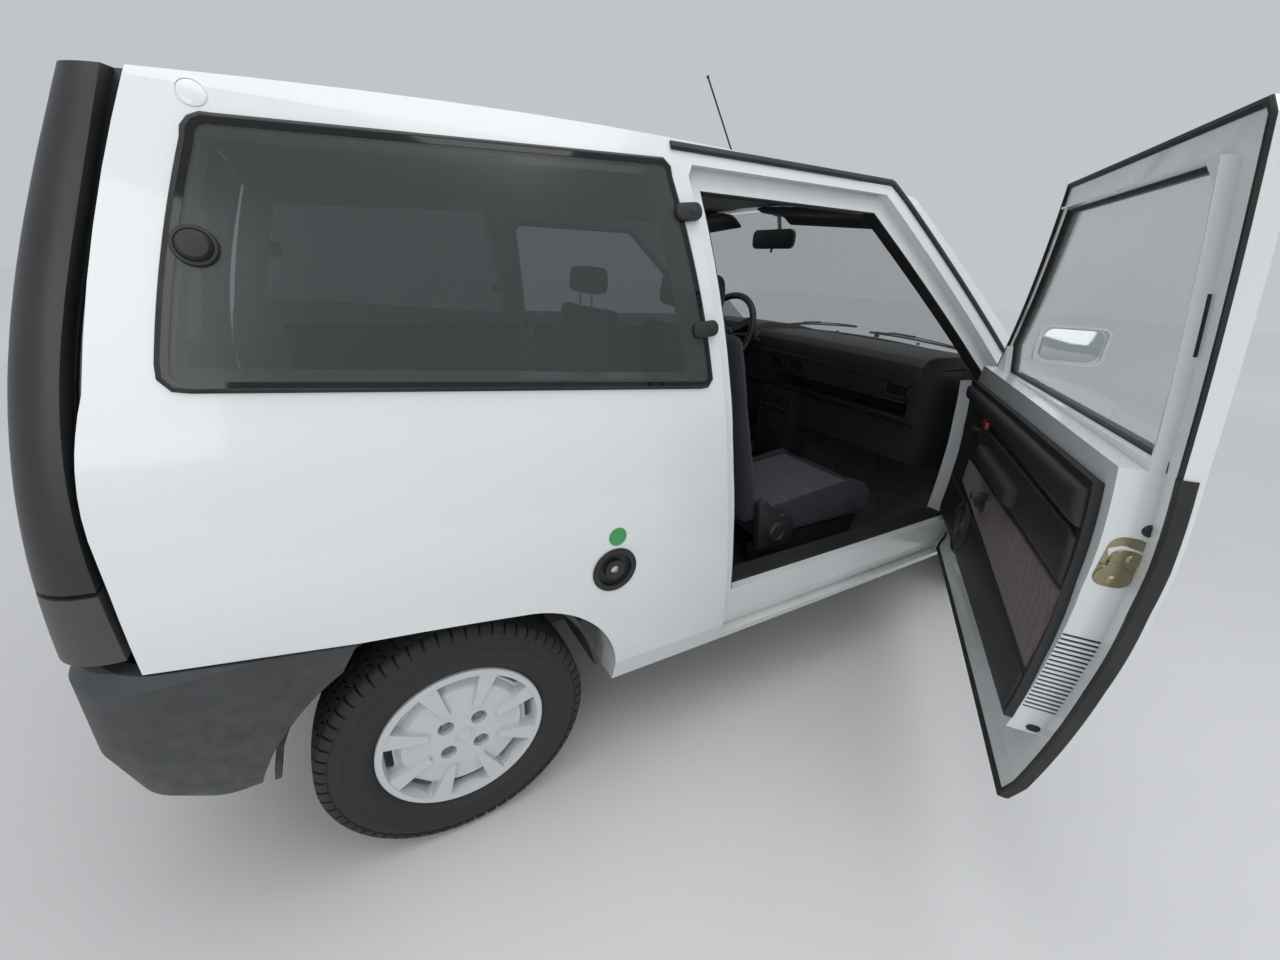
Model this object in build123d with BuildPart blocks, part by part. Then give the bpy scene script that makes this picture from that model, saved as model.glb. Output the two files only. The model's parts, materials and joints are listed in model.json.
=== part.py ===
from build123d import *
from math import cos, radians, sin, sqrt, tan
import os

os.makedirs("parts", exist_ok=True)

# Small three-door city car, left-hand drive, with its right door open
# Millimetres and degrees; x forward from the rear axle, y to the car's left, z up from the floor
# Pieces of the left side are drawn first and mirrored to make the right side

# Overall sizes
wheelbase = 2159
rear_end = -535
front_end = 2857
roof_height = 1425
floor_low = 262
floor_sheet = 22
floor_half = 595
sill_low = 275

# Wheels and tyres
tyre_radius = 265
tyre_width = 140
rim_radius = 172
rim_width = 118
wheel_y = 645
spin_gap = 1.5
hub_radius = 48
steer_limit = 30
kingpin_y = 530

# Body surfaces
side_mid_x = 900
side_plan_radius = 58800
roof_crown_radius = 4500
bonnet_crown_radius = 5200
screen_plan_radius = 2690
screen_base_x = 1935
screen_base_z = 915
screen_rake = 1.536
far = 900

# Walls
door_wall = 70
door_frame_wall = 38
side_wall = 60
rail_wall = 66
roof_wall = 30
wing_wall = 22
bonnet_wall = 14
tail_wall = 45
bumper_wall = 24
glass_wall = 5
sill_depth = 112
sill_top = 430

# Clearances
door_gap = 6
lid_gap = 6
bonnet_rear_gap = 10
seam = 0.8
seat_gap = 0.3
rebate_depth = 27
rebate_width = 38
rebate_gap = 8
door_skin = 21

# Door, lid and steering travel
door_open = 37
door_travel = 68
tailgate_travel = 82
bonnet_travel = 55
hinge_x = 1652
hinge_y = 740
hinge_radius = 5.5
hinge_low = 420
hinge_high = 760
hinge_length = 54
tailgate_hinge_x = -275
tailgate_hinge_z = roof_height - 33
tailgate_hinge_y = 300
tailgate_hinge_radius = 7
hinge_foot_z = tailgate_hinge_z - 30
bonnet_hinge_x = 1850
bonnet_hinge_y = 585
bonnet_hinge_z = 882
bonnet_hinge_radius = 5

# Roof seams
roof_half = 545
rail_seam_z = roof_height - 95

# Steering
steering_ratio = 16
steering_wheel_radius = 186
steering_y = 330
steering_x = 1385
steering_z = 905
steering_rake = 25

# Side section at the middle of the car, from the sill up to above the roof rail
# y, z, via_y, via_z (an arc from the row before passes through the via point)
SIDE = (
    (712, sill_low, None, None),
    (738, 345, None, None),
    (754, 610, 750.5, 478),
    (748, 760, 753.4, 690),
    (722, 955, 739, 860),
    (628, roof_height - 85, 680.5, (955 + roof_height) / 2 - 40),
    (590, roof_height + 15, None, None),
)
belt_row = 4

# Roof line from the tail to the windscreen, and bonnet line from the screen to the nose
# x, z, via_x, via_z
ROOF = (
    (-500, roof_height - 59, None, None),
    (-300, roof_height - 37, None, None),
    (1190, roof_height - 24, 450, roof_height),
    (2400, roof_height - 85, None, None),
)
BONNET = (
    (1500, 956, None, None),
    (2790, 752, 2250, 893),
    (2950, 700, None, None),
)

# Door edge seen from the side
# x, z, via_x, via_z
DOOR = (
    (640, 300, None, None),
    (572, 831, 601, 590),
    (500, roof_height - 100, 546, 1085),
    (510, roof_height - 80, None, None),
    (1072, roof_height - 72, None, None),
    (1640, 932, None, None),
    (1665, 885, None, None),
    (1667, 322, None, None),
    (1645, 300, None, None),
)
DOOR_WINDOW = (
    (612, 968, None, None),
    (562, roof_height - 150, 588, 1120),
    (582, roof_height - 127, None, None),
    (1072, roof_height - 121, None, None),
    (1440, 1030, None, None),
    (1447, 955, None, None),
)
# Fixed side glass behind the door, outer edge of the pane
QUARTER_GLASS = (
    (-270, 1000, None, None),
    (-293, 1030, -290, 1007),
    (-222, roof_height - 145, -262, 1155),
    (-190, roof_height - 118, -214, roof_height - 125),
    (430, roof_height - 83, None, None),
    (458, roof_height - 107, 454, roof_height - 88),
    (527, 985, 500, 1150),
    (505, 957, 525, 963),
)
quarter_overlap = 14

# Rear arch, clockwise seen from the left, ending at the bumper
ARCH = (
    (335, 275),
    (330, 340),
    (140, 553),
    (-148, 590),
)
arch_radius = 322


def outline(rows):
    """Draw one closed outline from rows of (to_u, to_v, via_u, via_v); a via of None is a straight."""
    start = rows[-1][:2]
    for to_u, to_v, via_u, via_v in rows:
        if via_u is None:
            Line(start, (to_u, to_v))
        else:
            ThreePointArc(start, (via_u, via_v), (to_u, to_v))
        start = (to_u, to_v)


def shape(rows, margin=0):
    """Flat face inside one closed outline, grown by a margin."""
    with BuildSketch() as flat:
        with BuildLine():
            outline(rows)
        make_face()
        if margin:
            offset(amount=margin, kind=Kind.INTERSECTION)
    return flat.sketch


def straight(points):
    """Rows of a polygon."""
    return tuple((u, v, None, None) for u, v in points)


def turned(rows, plane, axis, arc):
    """Solid of a flat outline turned about a far axis by equal angles to both sides of its plane."""
    with BuildPart() as solid:
        with BuildSketch(plane):
            add(shape(rows))
        revolve(axis=axis, revolution_arc=arc)
    return solid.part.rotate(axis, -arc / 2)


def block(low, high, mode=Mode.ADD):
    """Box between two corners in the part being built."""
    with Locations(tuple((a + b) / 2 for a, b in zip(low, high))):
        Box(*(b - a for a, b in zip(low, high)), mode=mode)


def rod(start, end, radius):
    """Round bar from one point to another."""
    run = Vector(*end) - Vector(*start)
    with BuildPart() as solid:
        with BuildSketch(Plane(origin=start, z_dir=run)):
            Circle(radius)
        extrude(amount=run.length)
    return solid.part


# Side skins and bodies
side_plane = Plane.YZ.offset(side_mid_x)
side_axis = Axis((side_mid_x, -side_plan_radius, 0), (0, 0, 1))
side_arc = 4.6
roof_axis = Axis((0, 0, roof_height - roof_crown_radius), (1, 0, 0))
roof_arc = 36
bonnet_axis = Axis((0, 0, 900 - bonnet_crown_radius), (1, 0, 0))
bonnet_arc = 30


def side_half(z):
    """Half width of the body at the middle of the car."""
    rows = SIDE
    for (y0, z0, _, _), (y1, z1, _, _) in zip(rows, rows[1:]):
        if z0 <= z <= z1:
            return y0 + (y1 - y0) * (z - z0) / (z1 - z0)
    return rows[0][0]


def side_y(x, z):
    """Half width of the body at a place along the car."""
    return side_half(z) - (x - side_mid_x) ** 2 / (2 * side_plan_radius)


def side_skin(low_wall, high_wall, outward=0):
    """Left side as a skin, thick below the belt and thinner above it."""
    rows = [(y + outward, z, None if a is None else a + outward, b) for y, z, a, b in SIDE]
    low_wall -= outward
    high_wall -= outward
    rows.append((SIDE[-1][0] - high_wall, SIDE[-1][1], None, None))
    for index in range(len(SIDE) - 1, 0, -1):
        wall = high_wall if index > belt_row else low_wall
        y, z, _, _ = SIDE[index - 1]
        _, _, via_y, via_z = SIDE[index]
        if index == belt_row and low_wall != high_wall:
            rows.append((SIDE[index][0] - low_wall, SIDE[index][1], None, None))
        rows.append((y - wall, z, None if via_y is None else via_y - wall, via_z))
    return turned(rows, side_plane, side_axis, side_arc)


def side_body(inward=0, low=200):
    """Everything inside the left side surface."""
    rows = [(y - inward, z, None if a is None else a - inward, b) for y, z, a, b in SIDE]
    rows = [(rows[0][0], low, None, None)] + rows
    rows += [(-far, rows[-1][1], None, None), (-far, low, None, None)]
    return turned(rows, side_plane, side_axis, side_arc)


def under(line, drop, axis, arc, low=0):
    """Everything below a crowned line along the car."""
    rows = [(x, z - drop, a, None if b is None else b - drop) for x, z, a, b in line]
    rows = [(line[0][0], low, None, None)] + rows + [(line[-1][0], low, None, None)]
    return turned(rows, Plane.XZ, axis, arc)


def sheet(line, wall, axis, arc):
    """Crowned skin of an even thickness along the car."""
    rows = list(line)
    rows.append((line[-1][0], line[-1][1] - wall, None, None))
    for (x, z, _, _), (_, _, a, b) in zip(line[-2::-1], line[:0:-1]):
        rows.append((x, z - wall, a, None if b is None else b - wall))
    return turned(rows, Plane.XZ, axis, arc)


def screen_solid(back=0, thick=None, low=200, high=1500):
    """Space behind the windscreen's outer face, or a pane of it."""
    base = screen_base_x - back + screen_rake * (screen_base_z - low)
    half = 800
    dip = screen_plan_radius - sqrt(screen_plan_radius**2 - half**2)
    with BuildPart() as solid:
        with BuildSketch(Plane.XY.offset(low)):
            with BuildLine():
                if thick is None:
                    Line((base - dip, -half), (-1500, -half))
                    Line((-1500, -half), (-1500, half))
                    Line((-1500, half), (base - dip, half))
                else:
                    Line((base - dip, -half), (base - dip - thick, -half))
                    ThreePointArc((base - dip - thick, -half), (base - thick, 0), (base - dip - thick, half))
                    Line((base - dip - thick, half), (base - dip, half))
                ThreePointArc((base - dip, half), (base, 0), (base - dip, -half))
            make_face()
        extrude(amount=(high - low) * sqrt(1 + screen_rake**2), dir=(-screen_rake, 0, 1))
    return solid.part


def mirrored(part):
    """The other side's copy."""
    return part.mirror(Plane.XZ)


# Tail section: back face, corner and side return at each height
# z, front x of the side return, back x at the middle, half width, corner size
TAIL = (
    (560, -404, -522, 737, 82),
    (760, -404, -508, 733, 68),
    (960, -388, -476, 708, 54),
    (1160, -337, -422, 661, 48),
    (roof_height - 85, -280, -356, 612, 40),
    (roof_height - 25, -262, -334, 590, 34),
)
tail_sagitta = 26


def tail_rows(front, back, half, corner, wall=None):
    """One closed horizontal section of the tail, solid or as a skin."""
    bend = 0.293 * corner
    edge = back + tail_sagitta
    outer = [
        (front, half, None, None),
        (edge + corner, half, None, None),
        (edge, half - corner, edge + bend, half - bend),
        (edge, corner - half, back, 0),
        (edge + corner, -half, edge + bend, bend - half),
        (front, -half, None, None),
    ]
    if wall is None:
        return outer
    side = half - wall
    rear = edge + wall
    inner = max(corner - wall, 12)
    inset = 0.293 * inner
    return outer + [
        (front, -side, None, None),
        (rear + inner, -side, None, None),
        (rear, inner - side, rear + inset, inset - side),
        (rear, side - inner, back + wall, 0),
        (rear + inner, side, rear + inset, side - inset),
        (front, side, None, None),
    ]


def tail_skin(wall=None, grow=0):
    """The tail lofted through its sections, solid or as one skin."""
    with BuildPart() as solid:
        for z, front, back, half, corner in TAIL:
            with BuildSketch(Plane.XY.offset(z)):
                add(shape(tail_rows(front - lid_gap, back - grow, half + grow, corner, wall)))
        loft()
    return solid.part


def side_piece(low_wall, high_wall, sketch, outward=0):
    """Part of the left side skin inside a side-view face."""
    with BuildPart() as piece:
        add(side_skin(low_wall, high_wall, outward))
        with BuildSketch(Plane.XZ):
            add(sketch)
        extrude(amount=-far, mode=Mode.INTERSECT)
    return piece.part


# Side frame: sill, pillars, roof rail and rear quarter in one stamping, open for door and glass
SIDE_FRAME = (
    (ARCH[0][0], ARCH[0][1], None, None),
    (1672, sill_low, None, None),
    (1672, 912, None, None),
    (1880, 905, None, None),
    (1300, roof_height + 35, None, None),
    (-230, roof_height + 35, None, None),
    (-262, roof_height - 75, None, None),
    (-368, 1000, -322, 1175),
    (-400, 800, -394, 905),
    (-398, 630, None, None),
    (ARCH[3][0], ARCH[3][1], None, None),
    (ARCH[2][0], ARCH[2][1], -10, 574),
    (ARCH[1][0], ARCH[1][1], 272, 478),
)
pillar_inner_low = 668
pillar_inner_high = 552
pillar_low_z = 925
pillar_high_z = roof_height - 33
pane_top_half = 567
pane_top_side = roof_height - 92.5
pane_top_mid = roof_height - 59.5
hinge_post_x = 1760
hinge_post_top = 880
SCREEN_FRONT = straight((
    (-pillar_inner_low, pillar_low_z),
    (pillar_inner_low, pillar_low_z),
    (pillar_inner_high, pillar_high_z),
    (0, pillar_high_z + 30),
    (-pillar_inner_high, pillar_high_z),
))

with BuildSketch() as door_hole:
    add(shape(DOOR, -rebate_width))
    with Locations((1100, sill_top - 200)):
        Rectangle(1400, 400, mode=Mode.SUBTRACT)
with BuildSketch() as frame_face:
    add(shape(SIDE_FRAME))
    add(door_hole.sketch, mode=Mode.SUBTRACT)
    add(shape(QUARTER_GLASS, -quarter_overlap), mode=Mode.SUBTRACT)
with BuildSketch() as sill_face:
    add(shape(straight((
        (ARCH[1][0] + 8, sill_low),
        (hinge_post_x, sill_low),
        (hinge_post_x, hinge_post_top),
        (DOOR[7][0] - rebate_width, hinge_post_top),
        (DOOR[7][0] - rebate_width, sill_top),
        (ARCH[1][0] + 8, sill_top),
    ))))

with BuildPart() as wing_flange_space:
    add(under(BONNET, -seam, bonnet_axis, bonnet_arc))
    block((1672 + seam, 0, hinge_post_top - 12), (1900, far, 1000), mode=Mode.INTERSECT)
with BuildPart() as side_frame_left:
    add(side_piece(side_wall, rail_wall, frame_face.sketch))
    add(side_piece(sill_depth, sill_depth, sill_face.sketch))
    add(side_piece(rebate_depth, rebate_depth, shape(DOOR)), mode=Mode.SUBTRACT)
    add(side_piece(wing_wall + 5, wing_wall + 5, shape(straight((
        (1672.5, 200), (1900, 200), (1900, 908), (1672.5, 908),
    )))), mode=Mode.SUBTRACT)
    add(wing_flange_space.part, mode=Mode.SUBTRACT)
    add(under(ROOF, 0, roof_axis, roof_arc), mode=Mode.INTERSECT)
    add(screen_solid(), mode=Mode.INTERSECT)
    with BuildSketch(Plane.YZ.offset(1000)):
        add(shape(SCREEN_FRONT))
    extrude(amount=1200, mode=Mode.SUBTRACT)
    block((-600, 0, rail_seam_z), (2000, roof_half + seam, roof_height + 75), mode=Mode.SUBTRACT)
    for low in (hinge_low, hinge_high):
        with Locations((hinge_x, hinge_y, low + hinge_length / 2)):
            Cylinder(hinge_radius, hinge_length)
        block((hinge_x - 5, 705, low), (hinge_x + 0.5, hinge_y - 1, low + hinge_length))

# Fuel filler cap in its round pocket behind the right door
filler_x = 310
filler_z = 606
filler_radius = 46
filler_depth = 26
filler_y = side_y(filler_x, filler_z)
side_frame_right = mirrored(side_frame_left.part)
filler_plane = Plane(origin=(filler_x, -filler_y, filler_z), x_dir=(1, 0, 0), z_dir=(0, -1, 0))
with BuildPart() as filler_pocket:
    with BuildSketch(filler_plane.offset(-filler_depth)):
        Circle(filler_radius)
    extrude(amount=60)
side_frame_right -= filler_pocket.part
with BuildPart() as filler_cap:
    with BuildSketch(filler_plane.offset(seat_gap - filler_depth)):
        Circle(filler_radius - seat_gap)
    extrude(amount=filler_depth + 3)
    with BuildSketch(filler_plane.offset(-7)):
        Circle(filler_radius - 9)
        Circle(21, mode=Mode.SUBTRACT)
    extrude(amount=20, mode=Mode.SUBTRACT)
    with BuildSketch(filler_plane.offset(-2)):
        Circle(9)
    extrude(amount=8, mode=Mode.SUBTRACT)

# Roof panel between the rails, cut to the screen in front and the tailgate behind
roof_rear_x = -268
with BuildPart() as roof_panel:
    add(sheet(ROOF, roof_wall, roof_axis, roof_arc))
    add(screen_solid(), mode=Mode.INTERSECT)
    block((roof_rear_x, -roof_half, 1000), (2000, roof_half, 1600), mode=Mode.INTERSECT)
    for sign in (1, -1):
        for inner, outer in ((-31, -21), (21, 31)):
            middle = sign * tailgate_hinge_y
            block(
                (tailgate_hinge_x, middle + inner, tailgate_hinge_z - tailgate_hinge_radius),
                (roof_rear_x + 8, middle + outer, tailgate_hinge_z + tailgate_hinge_radius),
            )
            block((roof_rear_x + 1, middle + inner, hinge_foot_z), (roof_rear_x + 8, middle + outer, tailgate_hinge_z))
            with BuildSketch(Plane.XZ.offset(-middle - inner)):
                with Locations((tailgate_hinge_x, tailgate_hinge_z)):
                    Circle(tailgate_hinge_radius)
            extrude(amount=-(outer - inner))

# Aerial on the middle of the roof's front edge, raked back
aerial_foot_x = 1168
aerial_foot_z = roof_height - 22
aerial_tip = (973, 0, roof_height + 273)
with BuildPart() as aerial:
    with Locations((aerial_foot_x, 0, aerial_foot_z + 4)):
        Cylinder(13, 14)
    add(under(ROOF, -seat_gap, roof_axis, roof_arc), mode=Mode.SUBTRACT)
    add(rod((aerial_foot_x, 0, aerial_foot_z + 6), aerial_tip, 2.6))
    with Locations(aerial_tip):
        Sphere(4.5)

# Windscreen, set between the pillars under the roof's front edge
with BuildPart() as windscreen:
    add(screen_solid(0, glass_wall / sin(radians(33)), 700, 1500))
    with BuildSketch(Plane.YZ.offset(1000)):
        add(shape((
            (-pillar_inner_low, pillar_low_z, None, None),
            (pillar_inner_low, pillar_low_z, None, None),
            (pane_top_half, pane_top_side, None, None),
            (-pane_top_half, pane_top_side, 0, pane_top_mid),
        ), -seam))
    extrude(amount=1200, mode=Mode.INTERSECT)

# Quarter glass, a pane that lies proud on the quarter panel over its opening
with BuildPart() as quarter_glass:
    add(side_piece(glass_wall, glass_wall, shape(QUARTER_GLASS), outward=glass_wall + 0.5))
    mirror(about=Plane.XZ)

# Tailgate: back face with its side returns and a top flange under the hinge line
tailgate_low = 762
tailgate_centre_low = 652
lamp_inner_y = 478
tail_window_top = roof_height - 135
TAIL_WINDOW = (
    (-596, 935, None, None),
    (-520, tail_window_top - 22, None, None),
    (-490, tail_window_top, -511, tail_window_top - 5),
    (490, tail_window_top, None, None),
    (520, tail_window_top - 22, 511, tail_window_top - 5),
    (596, 935, None, None),
    (570, 912, 590, 918),
    (-570, 912, None, None),
    (-596, 935, -590, 918),
)[1:]
TAILGATE_REAR = straight((
    (-far, tailgate_low), (1 - lamp_inner_y, tailgate_low),
    (1 - lamp_inner_y, tailgate_centre_low), (lamp_inner_y - 1, tailgate_centre_low),
    (lamp_inner_y - 1, tailgate_low), (far, tailgate_low), (far, 1500), (-far, 1500),
))
plate_half = 262
plate_low = 694
plate_height = 118
rear_plate_x = -488
handle_z = 856
handle_length = 150
handle_height = 34
handle_floor_x = -468
with BuildPart() as tail_top:
    add(sheet(ROOF, roof_wall, roof_axis, roof_arc))
    block((-400, -560, roof_height - 125), (roof_rear_x - lid_gap, 560, roof_height + 75), mode=Mode.INTERSECT)
    add(tail_skin(), mode=Mode.INTERSECT)
with BuildPart() as tailgate:
    add(tail_skin(tail_wall))
    with BuildSketch(Plane.YZ):
        add(shape(TAILGATE_REAR))
    extrude(amount=-700, mode=Mode.INTERSECT)
    with BuildSketch(Plane.YZ.offset(-340)):
        add(shape(TAIL_WINDOW))
    extrude(amount=-300, mode=Mode.SUBTRACT)
    add(under(ROOF, 0, roof_axis, roof_arc), mode=Mode.INTERSECT)
    add(tail_top.part)
    block((-600, -plate_half, plate_low), (rear_plate_x, plate_half, plate_low + plate_height), mode=Mode.SUBTRACT)
    with BuildSketch(Plane.YZ.offset(-560)):
        with Locations((0, handle_z)):
            SlotOverall(handle_length, handle_height)
    extrude(amount=handle_floor_x + 560, mode=Mode.SUBTRACT)
    for sign in (1, -1):
        middle = sign * tailgate_hinge_y
        block(
            (tailgate_hinge_x - 22, middle - 20, hinge_foot_z),
            (tailgate_hinge_x - 1, middle + 20, tailgate_hinge_z - 1),
        )
        with BuildSketch(Plane.XZ.offset(-middle - 20)):
            with Locations((tailgate_hinge_x, tailgate_hinge_z)):
                Circle(tailgate_hinge_radius)
        extrude(amount=40)
with BuildPart() as tailgate_glass:
    add(tail_skin(glass_wall))
    with BuildSketch(Plane.YZ.offset(-340)):
        add(shape(TAIL_WINDOW, -seam))
    extrude(amount=-300, mode=Mode.INTERSECT)

# Tail lamps below the tailgate's corners: dark housings with a lens let into the back
lamp_low = 655
lamp_high = 755
lens_frame = 9
lens_back_x = -474
lens_outer = 668
with BuildPart() as lamp_left:
    add(tail_skin(58))
    block((-800, lamp_inner_y, lamp_low), (-300, far, lamp_high), mode=Mode.INTERSECT)
with BuildPart() as tail_lamps:
    add(lamp_left.part)
    block(
        (-800, lamp_inner_y + lens_frame, lamp_low + lens_frame),
        (lens_back_x, lens_outer, lamp_high - lens_frame),
        mode=Mode.SUBTRACT,
    )
    mirror(about=Plane.XZ)
with BuildPart() as tail_lenses:
    add(lamp_left.part)
    block(
        (-800, lamp_inner_y + lens_frame + seam, lamp_low + lens_frame + seam),
        (lens_back_x - seat_gap, lens_outer - seam, lamp_high - lens_frame - seam),
        mode=Mode.INTERSECT,
    )
    mirror(about=Plane.XZ)


# Bumpers: sections stacked at each height, cut to the arch from the side
def wrap_rows(end, half, corner, sagitta, front, wall, sign):
    """Closed plan section of a bumper that wraps round both corners."""
    bend = 0.293 * corner
    edge = end - sign * sagitta
    inset = corner - wall
    side = half - wall
    rear = edge - sign * wall
    return (
        (edge - sign * corner, half, None, None),
        (edge, half - corner, edge - sign * bend, half - bend),
        (edge, corner - half, end, 0),
        (edge - sign * corner, -half, edge - sign * bend, bend - half),
        (front, -half, None, None),
        (front, -side, None, None),
        (rear - sign * inset, -side, None, None),
        (rear, inset - side, rear - sign * 0.293 * inset, 0.293 * inset - side),
        (rear, side - inset, end - sign * wall, 0),
        (rear - sign * inset, side, rear - sign * 0.293 * inset, side - 0.293 * inset),
        (front, side, None, None),
        (front, half, None, None),
    )


rear_bumper_low = 345
rear_bumper_top = 640
front_bumper_low = 330
front_bumper_top = 578
boot_floor = 372
bumper_arm_y = 400
front_arm_y = 350
front_arm_end = 2815
REAR_BUMPER_SIDE = (
    (ARCH[3][0] - seam - 2, ARCH[3][1] - seam - 1, None, None),
    (-400, 626, None, None),
    (-460, rear_bumper_top, None, None),
    (-700, rear_bumper_top, None, None),
    (-700, rear_bumper_low, None, None),
    (-322, rear_bumper_low, None, None),
    (-176, 545, -266, 462),
)
# z, end x, half width, corner size
REAR_BUMPER = (
    (rear_bumper_low, -470, 716, 92),
    (392, -512, 738, 108),
    (478, rear_end, 748, 118),
    (606, rear_end + 3, 747, 118),
    (632, rear_end + 16, 737, 108),
    (rear_bumper_top, rear_end + 30, 724, 96),
)
FRONT_BUMPER = (
    (front_bumper_low, 2800, 712, 150),
    (372, 2838, 730, 164),
    (430, front_end, 738, 170),
    (546, front_end - 2, 738, 170),
    (front_bumper_top, front_end - 24, 722, 156),
)


def bumper(table, sagitta, front, sign):
    """Wrap-round bumper with a crease at each row of its table."""
    with BuildPart() as solid:
        for z, end, half, corner in table:
            with BuildSketch(Plane.XY.offset(z)):
                add(shape(wrap_rows(end, half, corner, sagitta, front, bumper_wall, sign)))
        loft(ruled=True)
    return solid.part


with BuildPart() as bumper_rear:
    add(bumper(REAR_BUMPER, 30, -100, -1))
    with BuildSketch(Plane.XZ):
        add(shape(REAR_BUMPER_SIDE))
    extrude(amount=far, both=True, mode=Mode.INTERSECT)
    block((-452 - seat_gap, -640.3, boot_floor - seat_gap), (-380, 640.3, 640), mode=Mode.SUBTRACT)
    for sign in (1, -1):
        with Locations((-467 - seat_gap, sign * bumper_arm_y, 420)):
            Box(32, 50 + 2 * seat_gap, 60 + 2 * seat_gap, mode=Mode.SUBTRACT)

FRONT_BUMPER_SIDE = straight((
    (2478, front_bumper_low), (3000, front_bumper_low),
    (3000, front_bumper_top), (2478, front_bumper_top),
))
front_plate_x = 2842
with BuildPart() as bumper_front:
    add(bumper(FRONT_BUMPER, 62, 2400, 1))
    block((front_plate_x, -plate_half, 434), (3000, plate_half, 434 + plate_height - 6), mode=Mode.SUBTRACT)
    for low in (352, 388):
        block((2700, -240, low), (3000, 240, low + 18), mode=Mode.SUBTRACT)
    with BuildSketch(Plane.XZ):
        add(shape(FRONT_BUMPER_SIDE))
    extrude(amount=far, both=True, mode=Mode.INTERSECT)
    for sign in (1, -1):
        with Locations((front_arm_end - 35 + seat_gap, sign * front_arm_y, 490)):
            Box(70, 40 + 2 * seat_gap, 60 + 2 * seat_gap, mode=Mode.SUBTRACT)

# Nose between bumper and bonnet: grille in the middle, lamps at the corners
nose_end = 2806
nose_corner = 90
nose_low = 586
nose_top = 722
lamp_side_x = 2650
lamp_inner = 424
slat_run = 202
slat_post = 12
slat_pitch = 21
slat_wall = 8
indicator_y = 622
groove = 4
with BuildPart() as grille:
    with BuildSketch(Plane.XY.offset(nose_low)):
        add(shape(wrap_rows(nose_end - 8, 725, nose_corner, 58, 2500, 22, 1)))
    extrude(amount=nose_top - nose_low)
    add(under(BONNET, bonnet_wall + lid_gap, bonnet_axis, bonnet_arc), mode=Mode.INTERSECT)
    block((2600, -lamp_inner, 0), (3000, lamp_inner, 2000), mode=Mode.INTERSECT)
    with BuildSketch(Plane.YZ.offset(2600)):
        with Locations((0, (nose_low + nose_top) / 2 - 6)):
            with GridLocations(slat_run, slat_pitch, 4, 5):
                Rectangle(slat_run - slat_post, slat_pitch - slat_wall)
    extrude(amount=400, mode=Mode.SUBTRACT)
with BuildPart() as headlamps:
    with BuildSketch(Plane.XY.offset(nose_low)):
        add(shape(wrap_rows(nose_end, 725, nose_corner, 58, lamp_side_x, 60, 1)))
    extrude(amount=nose_top - nose_low)
    add(under(BONNET, bonnet_wall + lid_gap, bonnet_axis, bonnet_arc), mode=Mode.INTERSECT)
    block((2000, -lamp_inner - seam, 0), (3000, lamp_inner + seam, 2000), mode=Mode.SUBTRACT)
    for sign in (1, -1):
        with Locations((2790, sign * indicator_y, 650)):
            Box(90, groove, 300, mode=Mode.SUBTRACT)

# Bonnet, closed onto wings, lamps and cowl with an even gap
bonnet_rear_x = 1985
bonnet_rear_half = 640
bonnet_front_half = 612
bonnet_rear_dip = 76
bonnet_front_dip = 50
BONNET_PLAN = (
    (bonnet_rear_x - bonnet_rear_dip, bonnet_rear_half, None, None),
    (bonnet_rear_x - bonnet_rear_dip, -bonnet_rear_half, bonnet_rear_x, 0),
    (nose_end - bonnet_front_dip, -bonnet_front_half, None, None),
    (nose_end - bonnet_front_dip, bonnet_front_half, nose_end, 0),
)
with BuildPart() as bonnet:
    add(sheet(BONNET, bonnet_wall, bonnet_axis, bonnet_arc))
    with BuildSketch(Plane.XY):
        add(shape(BONNET_PLAN))
    extrude(amount=1500, mode=Mode.INTERSECT)
    for sign in (1, -1):
        middle = sign * bonnet_hinge_y
        block(
            (bonnet_hinge_x - 3, middle - 6, bonnet_hinge_z - 16),
            (bonnet_hinge_x + 118, middle + 6, bonnet_hinge_z - 3),
        )
        block(
            (bonnet_hinge_x + 84, middle - 6, bonnet_hinge_z - 16),
            (bonnet_hinge_x + 118, middle + 6, bonnet_hinge_z + 13),
        )
        with BuildSketch(Plane.XZ.offset(-middle - 6)):
            with Locations((bonnet_hinge_x, bonnet_hinge_z)):
                Circle(bonnet_hinge_radius)
        extrude(amount=12)

# Wings
wing_rear_x = 1672 + seam
wing_front_x = lamp_side_x - 3
front_arch_radius = 325
WING = (
    (1841, 285, None, None),
    (wing_rear_x, 285, None, None),
    (wing_rear_x, 1000, None, None),
    (wing_front_x, 1000, None, None),
    (wing_front_x, front_bumper_top + 4, None, None),
    (2474, front_bumper_top + 4, None, None),
    (2474, 345, None, None),
    (1844, 340, wheelbase, tyre_radius + front_arch_radius),
)
with BuildPart() as wing_core:
    add(side_body(wing_wall))
    add(under(BONNET, wing_wall, bonnet_axis, bonnet_arc), mode=Mode.INTERSECT)
with BuildPart() as wing_left:
    add(side_body())
    add(under(BONNET, 0, bonnet_axis, bonnet_arc), mode=Mode.INTERSECT)
    add(wing_core.part, mode=Mode.SUBTRACT)
    with BuildSketch(Plane.XZ):
        add(shape(WING))
    extrude(amount=-far, mode=Mode.INTERSECT)
    with BuildSketch(Plane.XY):
        add(shape(straight((
            (1500, bonnet_rear_half + lid_gap + 12),
            (1909, bonnet_rear_half + lid_gap),
            (2757, bonnet_front_half + lid_gap),
            (3000, bonnet_front_half), (3000, far), (1500, far),
        ))))
    extrude(amount=1500, mode=Mode.INTERSECT)
    add(screen_solid(-14, low=870), mode=Mode.SUBTRACT)

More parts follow.
